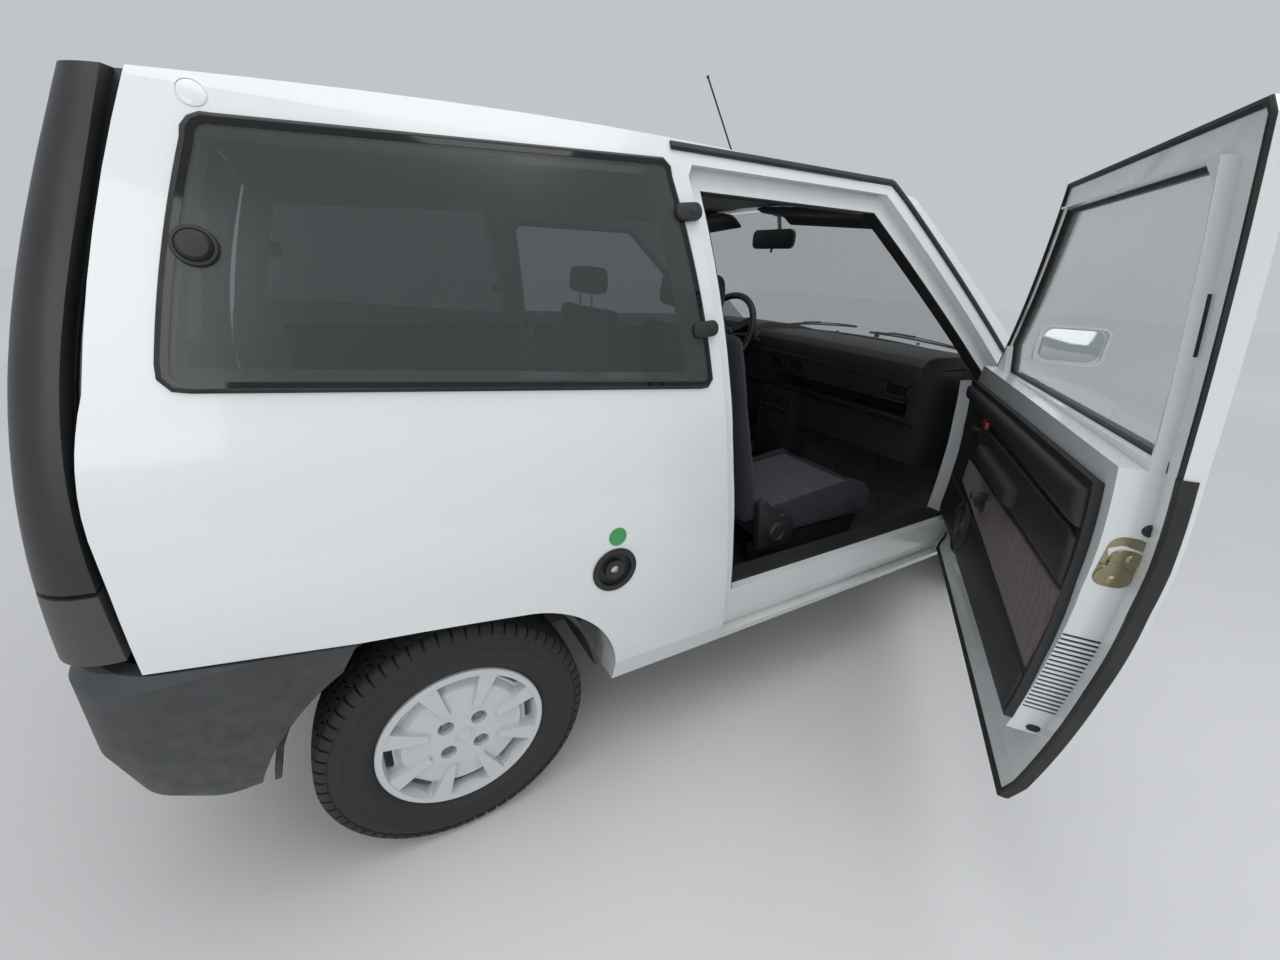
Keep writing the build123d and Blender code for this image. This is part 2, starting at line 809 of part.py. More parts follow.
# Cowl panel between bonnet and windscreen
cowl_side_x = bonnet_rear_x - bonnet_rear_dip - bonnet_rear_gap
cowl_half = bonnet_rear_half + lid_gap
cowl_rib_x = 1923
cowl_rib_half = 440
cowl_seat = 872
with BuildPart() as cowl_rib:
    block((cowl_rib_x, -cowl_rib_half, cowl_seat + seat_gap), (cowl_rib_x + 12, cowl_rib_half, 960))
    add(under(BONNET, 7, bonnet_axis, bonnet_arc), mode=Mode.INTERSECT)
with BuildPart() as cowl_panel:
    add(sheet(BONNET, 14, bonnet_axis, bonnet_arc))
    with BuildSketch(Plane.XY):
        add(shape((
            (1800, cowl_half + 2.8, None, None),
            (1800, -cowl_half - 2.8, None, None),
            (cowl_side_x, -cowl_half - 0.1, None, None),
            (cowl_side_x, cowl_half + 0.1, bonnet_rear_x - bonnet_rear_gap, 0),
        )))
    extrude(amount=1500, mode=Mode.INTERSECT)
    for sign in (1, -1):
        with Locations((bonnet_hinge_x + 90, sign * bonnet_hinge_y, 900)):
            Box(210, 24, 200, mode=Mode.SUBTRACT)
    add(screen_solid(-3, low=800), mode=Mode.SUBTRACT)
    add(cowl_rib.part)


# Floor pan with bulkhead, boot floor, tail panel and wheel houses
def folded(points, wall, half):
    """Folded sheet that runs across the car, from its side profile."""
    with BuildPart() as panel:
        with BuildSketch(Plane.XZ):
            with BuildLine():
                Polyline(*points)
                offset(amount=wall, side=Side.RIGHT)
            make_face()
        extrude(amount=half, both=True)
    return panel.part


seat_step_x = 420
house_radius = 318
house_sheet = 10
house_inner_y = 478
house_outer_y = 676
house_low = 300
floor_top = floor_low + floor_sheet
tunnel_top = floor_top + 92
tow_wall = 12
tow_eye_z = 326
tow_eye_radius = 11
with BuildPart() as floor_pan:
    add(folded((
        (1772, 872), (1772, 430), (1640, floor_low), (seat_step_x, floor_low),
        (seat_step_x - 60, boot_floor), (-432, boot_floor),
    ), floor_sheet, floor_half))
    block((-452, -640, boot_floor), (-432, 640, tailgate_centre_low - seat_gap))
    block((-496, -470, rear_bumper_top + 1.5), (-433, 470, tailgate_centre_low - seat_gap))
    for sign in (1, -1):
        with Locations((-421, sign * 562, 603), (-416.9, sign * 562, 658)):
            Box(24, 154, 86)
        with Locations((-418.05, sign * 562, 700)):
            Box(16.1, 154, 110)
        with Locations((-467, sign * bumper_arm_y, 420)):
            Box(32, 50, 60)
    block((450, -105, floor_top - 1), (1640, 105, tunnel_top))
    for sign in (1, -1):
        with Locations((-390, sign * 560, boot_floor - 32)):
            Box(60, tow_wall, 70)
        with BuildSketch(Plane.XZ.offset(-sign * 560)):
            with Locations((-390, tow_eye_z)):
                Circle(tow_eye_radius)
        extrude(amount=30, both=True, mode=Mode.SUBTRACT)
    block((1750, -566, cowl_seat - 12), (1890, 566, cowl_seat))
    block((1889, -cowl_rib_half, cowl_seat - 12), (cowl_rib_x + 16, cowl_rib_half, cowl_seat))
    for sign in (1, -1):
        with BuildSketch(Plane.XZ.offset(-sign * house_inner_y)) as house_round:
            with Locations((0, tyre_radius)):
                Circle(house_radius)
        extrude(amount=-sign * 200, mode=Mode.SUBTRACT)
        with BuildSketch(Plane.XZ.offset(-sign * house_inner_y)):
            with Locations((0, tyre_radius)):
                Circle(house_radius)
                Circle(house_radius - house_sheet, mode=Mode.SUBTRACT)
                Rectangle(4 * house_radius, 4 * house_radius, mode=Mode.INTERSECT)
        extrude(amount=-sign * (house_outer_y - house_inner_y))
        with BuildSketch(Plane.XZ.offset(-sign * house_inner_y)):
            with Locations((0, tyre_radius)):
                Circle(house_radius)
        extrude(amount=-sign * house_sheet)
    block((-500, -far, -200), (seat_step_x - 20, -house_inner_y + 1, house_low), mode=Mode.SUBTRACT)
    block((-500, house_inner_y - 1, -200), (seat_step_x - 20, far, house_low), mode=Mode.SUBTRACT)

# Front structure: rails, cross member, strut towers and lamp panel
tower_y = 512
rail_inner = 322
rail_outer = 402
rail_low = 330
rail_high = 440
rail_rear_x = 1772 + seat_gap
rail_front_x = 2740
tower_low = 796
member_low = 150
member_top = 205
with BuildPart() as front_frame:
    for sign in (1, -1):
        near, out = sorted((sign * rail_inner, sign * rail_outer))
        block((rail_rear_x, near, rail_low), (rail_front_x, out, rail_high))
        with Locations((front_arm_end - 35, sign * front_arm_y, 490)):
            Box(70, 40, 60)
        with Locations((wheelbase, sign * (rail_outer + 600) / 2 - sign * 11, tower_low + 11)):
            Box(220, 220, 22)
        with Locations((wheelbase, sign * (rail_outer - 11), (rail_high + tower_low) / 2 + 2)):
            Box(220, 22, tower_low - rail_high + 8)
        with Locations((wheelbase, sign * (rail_inner + rail_outer) / 2, (member_top + seat_gap + rail_low) / 2)):
            Box(70, rail_outer - rail_inner, rail_low - member_top - seat_gap)
        with BuildSketch(Plane.XY.offset(670)):
            with Locations((2738, sign * 350)):
                Circle(14)
        extrude(amount=80)
    block((2726, -rail_outer, rail_low + 15), (2752.5, rail_outer, 676))
    add(under(BONNET, bonnet_wall + seat_gap, bonnet_axis, bonnet_arc), mode=Mode.INTERSECT)

# Engine and gearbox as one plain block
with BuildPart() as engine_block:
    block((1900, -rail_inner + 0.5, 300), (2420, rail_inner - 0.5, 700))
    fillet(engine_block.edges().filter_by(Axis.Z), 30)

# Fuel tank and exhaust under the floor
with BuildPart() as fuel_tank:
    block((480, -400, 160), (860, 100, floor_low - seat_gap))
    fillet(fuel_tank.edges().filter_by(Axis.Z), 40)
EXHAUST = (
    (1700, 160, 222), (430, 160, 222), (250, 190, 316), (60, 190, 316), (-190, 190, 250), (-300, 190, 250),
)
tail_pipe_radius = 20
tail_pipe_end = (-505, -190, 258)
with BuildPart() as exhaust:
    with BuildLine() as pipe_run:
        FilletPolyline(*EXHAUST, radius=60)
    with BuildSketch(Plane(origin=EXHAUST[0], z_dir=(-1, 0, 0))):
        Circle(21)
    sweep()
    add(rod((-330, 250, 250), (-330, -250, 250), 62))
    add(rod((-340, -190, 258), tail_pipe_end, tail_pipe_radius))
    with BuildSketch(Plane(origin=tail_pipe_end, z_dir=(1, 0, 0))):
        Circle(tail_pipe_radius - 3)
    extrude(amount=90, mode=Mode.SUBTRACT)
    for hang_x, hang_y, hang_z in ((-330, 200, 300), (-330, -200, 300)):
        add(rod((hang_x, hang_y, hang_z), (hang_x, hang_y, boot_floor - seat_gap), 6))
    add(rod((1000, 160, 222), (1000, 160, floor_low - seat_gap), 6))

# Rear axle: bent beam with spindle plates, and its springs
spindle_end = wheel_y + rim_width / 2 - 24 - seat_gap
spring_x = 85
spring_y = 430
spring_radius = 42
coil_radius = 9


def spring_leg(x, y, low, high):
    """Damper inside a coil spring, whose coils stand as close rounds."""
    count = 6
    step = (high - low) / count
    rows = [(16, low, None, None), (spring_radius - coil_radius, low, None, None)]
    for index in range(count):
        middle = low + (index + 0.5) * step
        rows.append((spring_radius - coil_radius, middle + step / 2, spring_radius, middle))
    rows.append((16, high, None, None))
    with BuildPart() as leg:
        with BuildSketch(Plane.XZ):
            add(shape(rows))
        revolve(axis=Axis.Z)
        add(rod((0, 0, low - 70), (0, 0, high), 16.5))
    return leg.part.moved(Location((x, y, 0)))


with BuildPart() as rear_axle:
    for sign in (1, -1):
        add(rod((0, sign * 556, tyre_radius), (170, sign * 330, 240), 27))
        add(rod((0, sign * 540, tyre_radius), (0, sign * spindle_end, tyre_radius), hub_radius))
        add(rod((170, sign * 330, 240), (418, sign * 330, 236), 20))
        with Locations((430, sign * 330, 237)):
            Box(44, 60, 2 * (floor_low - seat_gap - 237))
    add(rod((170, 330, 240), (170, -330, 240), 27))
    for sign in (1, -1):
        add(spring_leg(spring_x, sign * spring_y, 262, boot_floor - seat_gap))

# Front suspension arms on a cross member
ball_height = 28.4
with BuildPart() as front_suspension:
    block((wheelbase - 35, -rail_outer, member_low), (wheelbase + 35, rail_outer, member_top))
    for sign in (1, -1):
        add(rod((wheelbase, sign * 390, 168), (wheelbase, sign * kingpin_y, 146), 12))
        with Locations((wheelbase, sign * kingpin_y, member_low)):
            Cylinder(20, ball_height)

liner_inner_y = 562
liner_foot = 150

# Knuckle and strut, turning about the kingpin
with BuildPart() as knuckle_left:
    strut_foot = member_low + ball_height / 2 + seat_gap
    add(rod((wheelbase, kingpin_y, strut_foot), (wheelbase, kingpin_y, tower_low - seat_gap), 24))
    add(rod((wheelbase, kingpin_y, tyre_radius), (wheelbase, spindle_end, tyre_radius), hub_radius))

# Wheel arch liners over the front wheels
liner_radius = 334
liner_wall = 4
with BuildPart() as wheel_liners:
    with BuildSketch(Plane.XZ.offset(-liner_inner_y)):
        with Locations((wheelbase, tyre_radius)):
            Circle(liner_radius + liner_wall)
            Circle(liner_radius, mode=Mode.SUBTRACT)
            with Locations((0, 600 + liner_foot)):
                Rectangle(2 * far, 1200, mode=Mode.INTERSECT)
    extrude(amount=-160)
    add(side_body(wing_wall + seat_gap), mode=Mode.INTERSECT)
    mirror(about=Plane.XZ)


# Road wheel and tyre about the y axis, outer side towards positive y
def about_axle(rows):
    """Ring from its section; u is along the axle, v is the radius."""
    with BuildPart() as ring:
        with BuildSketch(Plane.YZ):
            add(shape(rows))
        revolve(axis=Axis.Y)
    return ring.part


tyre_half = tyre_width / 2
rim_half = rim_width / 2
TYRE = (
    (-rim_half, rim_radius - 6, None, None),
    (-tyre_half, rim_radius + 38, -tyre_half + 2, rim_radius + 12),
    (-tyre_half + 16, tyre_radius - 4, -tyre_half + 3, tyre_radius - 22),
    (tyre_half - 16, tyre_radius - 4, 0, tyre_radius),
    (tyre_half, rim_radius + 38, tyre_half - 3, tyre_radius - 22),
    (rim_half, rim_radius - 6, tyre_half - 2, rim_radius + 12),
)
cover_face = rim_half - 7
cover_edge = rim_half + 5
valley_face = rim_half - 22
valley_inner = 118
slot_radius = 140
slot_length = 74
slot_width = 15
ring_inner = 152
rib_root = 74
rib_face = cover_edge - 2
nut_circle = 46
nut_radius = 16
nut_depth = 13
RIM = (
    (-rim_half, rim_radius - 20, None, None),
    (-rim_half, rim_radius - 7, None, None),
    (cover_edge - 5, rim_radius - 7, None, None),
    (cover_edge, rim_radius - 13, cover_edge - 1, rim_radius - 8),
    (cover_edge, ring_inner, None, None),
    (valley_face, ring_inner - 6, None, None),
    (valley_face, valley_inner + 10, None, None),
    (cover_face, valley_inner, None, None),
    (cover_face + 3, 70, None, None),
    (cover_face + 3, 0, None, None),
    (rim_half - 24, 0, None, None),
    (rim_half - 24, 60, None, None),
    (valley_face - 6, valley_inner, None, None),
    (valley_face - 6, rim_radius - 20, None, None),
)
# Rib outline seen from outside, widening from the middle of the cover to its ring
RIB = straight((
    (rib_root, -7), (ring_inner + 4, -19), (ring_inner + 4, 19), (rib_root, 7),
))
tyre = about_axle(TYRE)
wheel_face = Plane(origin=(0, 0, 0), x_dir=(1, 0, 0), z_dir=(0, 1, 0))
with BuildPart() as road_wheel:
    add(about_axle(RIM))
    with BuildSketch(wheel_face.offset(valley_face - 12)):
        with PolarLocations(slot_radius, 8):
            SlotOverall(slot_length, slot_width, rotation=90)
    extrude(amount=30, mode=Mode.SUBTRACT)
    with BuildSketch(wheel_face.offset(valley_face - 4)):
        with PolarLocations(0, 8, start_angle=22.5):
            add(shape(RIB))
    extrude(amount=rib_face - valley_face + 4)
    with BuildSketch(wheel_face.offset(cover_face + 20)):
        with PolarLocations(nut_circle, 4, start_angle=45):
            Circle(nut_radius)
    extrude(amount=-(20 + nut_depth), mode=Mode.SUBTRACT)
    with BuildSketch(wheel_face.offset(cover_face + 2)):
        Circle(19)
        Circle(16, mode=Mode.SUBTRACT)
    extrude(amount=3)
rim = road_wheel.part


def placed(part, x, y, side):
    """Road wheel piece on its axle end, outer side out."""
    turned_part = part if side > 0 else part.mirror(Plane.XZ)
    return turned_part.moved(Location((x, side * y, tyre_radius)))


# Doors: outer skin to the shut line, thicker inner box inside the rebate
with BuildSketch() as door_box_face:
    add(shape(DOOR, -rebate_width - rebate_gap))
    with Locations((1100, sill_top + 14 - 200)):
        Rectangle(1400, 400, mode=Mode.SUBTRACT)
    add(shape(DOOR_WINDOW), mode=Mode.SUBTRACT)
with BuildSketch() as door_skin_face:
    add(shape(DOOR, -door_gap))
    add(shape(DOOR_WINDOW), mode=Mode.SUBTRACT)
with BuildPart() as door_left:
    add(side_piece(door_skin, door_skin, door_skin_face.sketch))
    add(side_piece(door_wall, door_frame_wall, door_box_face.sketch))
    for low in (hinge_low, hinge_high):
        block((hinge_x - 6.5, 690, low - 3), (1700, hinge_y + 1.5, low + hinge_length + 3), mode=Mode.SUBTRACT)
        with Locations((hinge_x, hinge_y, low + hinge_length / 2)):
            Cylinder(hinge_radius + seat_gap, hinge_length + 6, mode=Mode.SUBTRACT)

with BuildPart() as door_glass_left:
    add(side_piece(16, 16, shape(DOOR_WINDOW, -seam)))
    add(side_skin(11, 11), mode=Mode.SUBTRACT)

# Door trim: panel on the inner box
with BuildPart() as door_trim_left:
    add(side_skin(door_wall + 14, door_wall + 14))
    add(side_skin(door_wall + 0.5, door_wall + 0.5), mode=Mode.SUBTRACT)
    with BuildSketch(Plane.XZ):
        add(shape(straight((
            (660, 470), (1615, 470), (1615, 900), (640, 920),
        ))))
    extrude(amount=-far, mode=Mode.INTERSECT)

# Door mirror
mirror_x = 1462
mirror_depth = 76
mirror_y = 812
mirror_z = 1034
mirror_wide = 152
mirror_tall = 98
with BuildPart() as mirror_left:
    for along, shrink in ((0, 0), (40, 10), (mirror_depth, 44)):
        with BuildSketch(Plane.YZ.offset(mirror_x + along)):
            with Locations((mirror_y, mirror_z)):
                RectangleRounded(mirror_wide - shrink, mirror_tall - shrink, 22)
    loft()
    with BuildSketch(Plane.YZ.offset(mirror_x)):
        with Locations((mirror_y, mirror_z)):
            RectangleRounded(mirror_wide - 12, mirror_tall - 12, 17)
    extrude(amount=8, mode=Mode.SUBTRACT)
    block((mirror_x + 10, 690, mirror_z - 42), (mirror_x + 58, 760, mirror_z - 8))
    add(side_body(-seat_gap), mode=Mode.SUBTRACT)

# Outer door handle: a plate with a pull recess
handle_plate = 5
with BuildSketch() as door_handle_face:
    with Locations((700, 838)):
        RectangleRounded(172, 62, 12)
        with Locations((-14, -4)):
            RectangleRounded(112, 34, 10, mode=Mode.SUBTRACT)
with BuildPart() as door_handle_left:
    add(side_piece(handle_plate, handle_plate, door_handle_face.sketch, outward=handle_plate + seat_gap))
    add(side_piece(10, 10, shape(straight((
        (640, 836), (735, 836), (735, 853), (640, 853),
    ))), outward=14))

# Lining: roof cloth under the panel, and boards over the rear quarter's inner wall
lining_wall = 3
with BuildPart() as headlining:
    add(under(ROOF, roof_wall + seat_gap, roof_axis, roof_arc))
    add(under(ROOF, roof_wall + seat_gap + lining_wall, roof_axis, roof_arc), mode=Mode.SUBTRACT)
    add(screen_solid(70), mode=Mode.INTERSECT)
    block((roof_rear_x + 12, 12 - roof_half, 1000), (2000, roof_half - 12, 1600), mode=Mode.INTERSECT)
with BuildPart() as rear_trims:
    add(side_piece(lining_wall, lining_wall, shape(straight((
        (-250, 470), (600, 470), (575, 930), (-250, 930),
    ))), outward=-side_wall - seat_gap))
    with BuildSketch(Plane.XZ):
        with Locations((0, tyre_radius)):
            Circle(house_radius + 16)
    extrude(amount=-far, mode=Mode.SUBTRACT)
    mirror(about=Plane.XZ)

# Gear lever, hand brake and pedals
lever_base = tunnel_top + seat_gap
with BuildPart() as hand_controls:
    add(rod((1240, 0, lever_base + 4), (1215, 0, 560), 7))
    with Locations((1213, 0, 572)):
        Sphere(23)
    with Locations((1240, 0, lever_base + 9)):
        Cylinder(46, 18)
    with Locations((1000, 0, lever_base + 17)):
        Box(110, 50, 34)
    add(rod((1010, 0, lever_base + 26), (1130, 0, lever_base + 92), 11))
pedal_foot_x = 1718
with BuildPart() as pedals:
    for pedal_y, pad in ((205, 34), (290, 52), (375, 52)):
        add(rod((pedal_foot_x, pedal_y, 530), (1580, pedal_y, 415), 7))
        with Locations(Location((1572, pedal_y, 405), (0, 35, 0))):
            Box(10, pad, 62)
    block((1700, 180, 505), (1750 - seat_gap, 400, 560 - seat_gap))

# Seats
def seat(y):
    """Front seat: cushion, leaning back and head rest."""
    with BuildPart() as solid:
        with BuildSketch(Plane.XZ.offset(-y - 235)):
            add(shape((
                (940, 400, None, None), (1400, 400, None, None),
                (1420, 520, 1430, 455), (1000, 480, None, None), (930, 500, 960, 480),
                (770, 1030, None, None), (700, 1020, 730, 1045), (830, 480, None, None),
                (860, 400, None, None),
            )))
        extrude(amount=470)
        block((690, y - 130, 1055), (780, y + 130, 1170))
        block((725, y - 60, 1020), (740, y - 45, 1060))
        block((725, y + 45, 1020), (740, y + 60, 1060))
        block((900, y - 215, floor_top + seat_gap), (1380, y - 185, 401))
        block((900, y + 185, floor_top + seat_gap), (1380, y + 215, 401))
    return solid.part


with BuildPart() as rear_bench:
    with BuildSketch(Plane.XZ.offset(-450)):
        add(shape(straight((
            (140, boot_floor + floor_sheet + seat_gap), (590, boot_floor + floor_sheet + seat_gap), (600, 520), (220, 490),
            (60, 930), (-20, 930), (130, 480),
        ))))
    extrude(amount=900)

# Dashboard with its shelf
DASH = (
    (1749.5, 560, None, None), (1749.5, 900, None, None), (1520, 905, None, None),
    (1462, 860, 1470, 900), (1470, 740, None, None), (1500, 722, None, None),
    (1500, 600, None, None), (1640, 560, None, None),
)
hood_half = 152
vent_z = 838
with BuildPart() as dashboard:
    with BuildSketch(Plane.XZ):
        add(shape(DASH))
    extrude(amount=586, both=True)
    block((1455, -562, 752), (1560, 70, 806), mode=Mode.SUBTRACT)
    block((1452, steering_y - hood_half, 870), (1640, steering_y + hood_half, 946))
    hood_edges = dashboard.edges().filter_by(Axis.Y).filter_by_position(Axis.Z, 940, 950)
    fillet(hood_edges, 20)
    block((1440, steering_y - hood_half + 16, 862), (1482, steering_y + hood_half - 16, 928), mode=Mode.SUBTRACT)
    for vent_y in (-516, -70, 40, 540):
        with Locations((1466, vent_y, vent_z)):
            Box(34, 84, 40, mode=Mode.SUBTRACT)
    block((1448, -88, tunnel_top + seat_gap), (1560, 88, 735))
    block((1440, -76, 640), (1462, 76, 700), mode=Mode.SUBTRACT)

# Steering wheel on its column
column_dir = Vector(cos(radians(steering_rake)), 0, -sin(radians(steering_rake)))
wheel_centre = Vector(steering_x, steering_y, steering_z)
wheel_plane = Plane(origin=wheel_centre, x_dir=(0, 1, 0), z_dir=column_dir)
column_run = 340
with BuildPart() as steering_column:
    with BuildSketch(wheel_plane.offset(48)):
        Circle(34)
    extrude(amount=column_run - 48)
    add(dashboard.part, mode=Mode.SUBTRACT)
    block((1500, 200, 500), (1900, 460, 1000), mode=Mode.SUBTRACT)
with BuildPart() as steering_wheel:
    with Locations(wheel_plane.location):
        Torus(steering_wheel_radius, 13)
    with BuildSketch(wheel_plane.offset(-4)):
        Circle(52)
        with PolarLocations(0, 3, start_angle=-90):
            with Locations((steering_wheel_radius / 2, 0)):
                Rectangle(steering_wheel_radius, 34)
    extrude(amount=18)
    with BuildSketch(wheel_plane.offset(14)):
        Circle(24)
    extrude(amount=48 - 14 - seat_gap)

# Everything in the car's own frame: name, solid, and whether it belongs to the open right door
pieces = [
    ("roof_panel", roof_panel.part),
    ("windscreen", windscreen.part),
    ("quarter_glass", quarter_glass.part),
    ("tailgate", tailgate.part),
    ("tailgate_glass", tailgate_glass.part),
    ("tail_lamps", tail_lamps.part),
    ("bumper_rear", bumper_rear.part),
    ("bumper_front", bumper_front.part),
    ("grille", grille.part),
    ("headlamps", headlamps.part),
    ("bonnet", bonnet.part),
    ("cowl_panel", cowl_panel.part),
    ("floor_pan", floor_pan.part),
    ("front_frame", front_frame.part),
    ("engine_block", engine_block.part),
    ("fuel_tank", fuel_tank.part),
    ("exhaust", exhaust.part),
    ("rear_axle", rear_axle.part),
    ("front_suspension", front_suspension.part),
    ("rear_bench", rear_bench.part),
    ("tail_lenses", tail_lenses.part),
    ("wheel_liners", wheel_liners.part),
    ("filler_cap", filler_cap.part),
    ("aerial", aerial.part),
    ("headlining", headlining.part),
    ("rear_trims", rear_trims.part),
    ("hand_controls", hand_controls.part),
    ("pedals", pedals.part),
    ("side_frame_left", side_frame_left.part),
    ("side_frame_right", side_frame_right),
    ("dashboard", dashboard.part),
    ("steering_column", steering_column.part),
    ("steering_wheel", steering_wheel.part),
    ("seat_left", seat(steering_y)),
    ("seat_right", seat(-steering_y)),
]
for stem, left in (
    ("wing", wing_left.part),
    ("knuckle", knuckle_left.part),
):
    pieces += [(stem + "_left", left), (stem + "_right", mirrored(left))]
right_hinge = Location((hinge_x, -hinge_y, 0))
right_door_open = right_hinge * Location((0, 0, 0), (0, 0, door_open)) * right_hinge.inverse()
for stem, left in (
    ("door", door_left.part),
    ("door_glass", door_glass_left.part),
    ("door_trim", door_trim_left.part),
    ("mirror", mirror_left.part),
    ("door_handle", door_handle_left.part),
):
    right = mirrored(left).moved(right_door_open)
    pieces += [(stem + "_left", left), (stem + "_right", right)]
for stem, at_x in (("rear", 0), ("front", wheelbase)):
    for side_name, side in (("left", 1), ("right", -1)):
        pieces += [
            (f"tyre_{stem}_{side_name}", placed(tyre, at_x, wheel_y, side)),
            (f"wheel_{stem}_{side_name}", placed(rim, at_x, wheel_y, side)),
        ]

# The shared frame: middle of the whole at its lowest point
whole = [solid.bounding_box() for _, solid in pieces]
middle_x = (min(box.min.X for box in whole) + max(box.max.X for box in whole)) / 2
middle_y = (min(box.min.Y for box in whole) + max(box.max.Y for box in whole)) / 2
print(f"frame shift x {middle_x:.3f} y {middle_y:.3f}")
for name, solid in pieces:
    stored = solid.moved(Location((-middle_x, -middle_y, 0))).fix()
    stored.label = name
    export_step(stored, f"parts/{name}.step")
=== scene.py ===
"""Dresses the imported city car: finishes, seals, trim, seats, tyres, and the studio round it."""

import bmesh
import bpy
import json
import logging
import math
from dataclasses import dataclass, field
from enum import IntEnum
from fnmatch import filter as matching
from mathutils import Matrix, Vector
from mathutils.bvhtree import BVHTree
from typing import Callable, Optional, Sequence, Union


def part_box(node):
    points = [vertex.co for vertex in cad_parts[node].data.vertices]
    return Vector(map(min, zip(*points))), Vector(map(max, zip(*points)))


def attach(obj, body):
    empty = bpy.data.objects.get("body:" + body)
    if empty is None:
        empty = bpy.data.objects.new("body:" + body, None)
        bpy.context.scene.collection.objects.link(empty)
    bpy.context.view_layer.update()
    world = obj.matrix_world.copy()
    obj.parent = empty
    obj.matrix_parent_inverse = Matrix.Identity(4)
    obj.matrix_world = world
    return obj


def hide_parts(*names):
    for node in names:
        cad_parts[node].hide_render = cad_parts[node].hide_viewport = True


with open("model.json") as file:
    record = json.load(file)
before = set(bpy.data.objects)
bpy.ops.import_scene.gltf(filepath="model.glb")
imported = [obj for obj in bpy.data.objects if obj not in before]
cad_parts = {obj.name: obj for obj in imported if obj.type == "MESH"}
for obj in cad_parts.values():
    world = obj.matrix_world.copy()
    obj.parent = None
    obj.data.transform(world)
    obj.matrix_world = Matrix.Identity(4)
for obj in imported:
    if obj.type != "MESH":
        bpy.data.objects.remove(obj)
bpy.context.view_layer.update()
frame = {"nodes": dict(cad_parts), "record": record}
log = logging.getLogger("city_car")

Colour = tuple[float, float, float]
Value = Union[float, Sequence[float], bpy.types.NodeSocket]
MM = 0.001
ACROSS, INWARD = Vector((0, 1, 0)), Vector((0, -1, 0))
FORWARD, BACKWARD = Vector((1, 0, 0)), Vector((-1, 0, 0))
UP = Vector((0, 0, 1))
FAR = 4000.0  # Millimetres from the car's origin, outside the car on every side.


def grey(level: float, warm: float = 0.0) -> Colour:
    """A neutral tone, a little warmer or cooler.

    Args:
        level: Linear brightness from 0 to 1.
        warm: Amount added to red and taken from blue.

    Returns:
        The colour.
    """
    return (level + warm, level, level - warm)


# Places


class Hand(IntEnum):
    """A side of the car, and its direction along the Y axis."""

    LEFT = 1
    RIGHT = -1

    @property
    def side(self) -> str:
        """Its name in the names of pieces."""
        return self.name.lower()


class Car:
    """The car's own measuring system: millimetres, from the middle of the rear axle."""

    def __init__(self) -> None:
        """Reads the axle's place from the rear tyres."""
        left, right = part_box("tyre_rear_left"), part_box("tyre_rear_right")
        self.origin = Vector(((left[0].x + left[1].x) / 2, (left[1].y + right[0].y) / 2, 0))

    def at(self, x: float, y: float, z: float) -> Vector:
        """A point of the car in the frame's metres."""
        return self.origin + Vector((x, y, z)) * MM

    def middle(self, node: str) -> Vector:
        """The middle of a node's box."""
        low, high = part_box(node)
        return (low + high) / 2


car = Car()


@dataclass
class Skin:
    """The outer face of one or more nodes, on which trim is laid.

    Attributes:
        nodes: Names of the nodes.
        trees: A search tree for each of them.
    """

    nodes: Sequence[str]
    trees: list = field(default_factory=list)

    def __post_init__(self) -> None:
        """Builds a search tree for each node."""
        for name in self.nodes:
            mesh = frame["nodes"][name].data
            points = [v.co.copy() for v in mesh.vertices]
            faces = [tuple(p.vertices) for p in mesh.polygons]
            self.trees.append(BVHTree.FromPolygons(points, faces))

    def met(self, start: Vector, way: Vector) -> tuple[Vector, Vector]:
        """The first point met by a ray that has to meet one.

        Args:
            start: Where the ray starts, in metres.
            way: Its direction, of length 1.

        Returns:
            The point and the normal that faces the start.
        """
        best = None
        for tree in self.trees:
            point, normal, _, distance = tree.ray_cast(start, way)
            if point is not None and (best is None or distance < best[2]):
                best = (point, normal if normal.dot(way) < 0 else -normal, distance)
        if best is None:
            raise ValueError(f"none of {self.nodes} seen from {start}")
        return best[:2]

    def side(self, x: float, z: float, hand: Hand) -> tuple[Vector, Vector]:
        """A point on the left (1) or right (-1) side, and its normal."""
        return self.met(car.at(x, hand * FAR, z), Vector((0, -hand, 0)))

    def above(self, x: float, y: float) -> tuple[Vector, Vector]:
        """A point on the top, and its normal."""
        return self.met(car.at(x, y, FAR), Vector((0, 0, -1)))

    def end(self, y: float, z: float, way: int) -> tuple[Vector, Vector]:
        """A point on the nose (1) or the tail (-1), and its normal."""
        return self.met(car.at(way * FAR, y, z), Vector((-way, 0, 0)))


# Objects


def linked(name: str, data: bpy.types.ID) -> bpy.types.Object:
    """A new object in the scene.

    Args:
        name: Name of the object.
        data: What it shows.

    Returns:
        The object.
    """
    made = bpy.data.objects.new(name, data)
    bpy.context.scene.collection.objects.link(made)
    return made


def shaped(work: bpy.types.Object) -> bpy.types.Mesh:
    """What an object's modifiers make of its mesh; the modifiers go.

    Args:
        work: The object.

    Returns:
        The plain mesh.
    """
    bpy.context.view_layer.update()
    seen = work.evaluated_get(bpy.context.evaluated_depsgraph_get())
    made = bpy.data.meshes.new_from_object(seen)
    work.modifiers.clear()
    return made


# Node trees


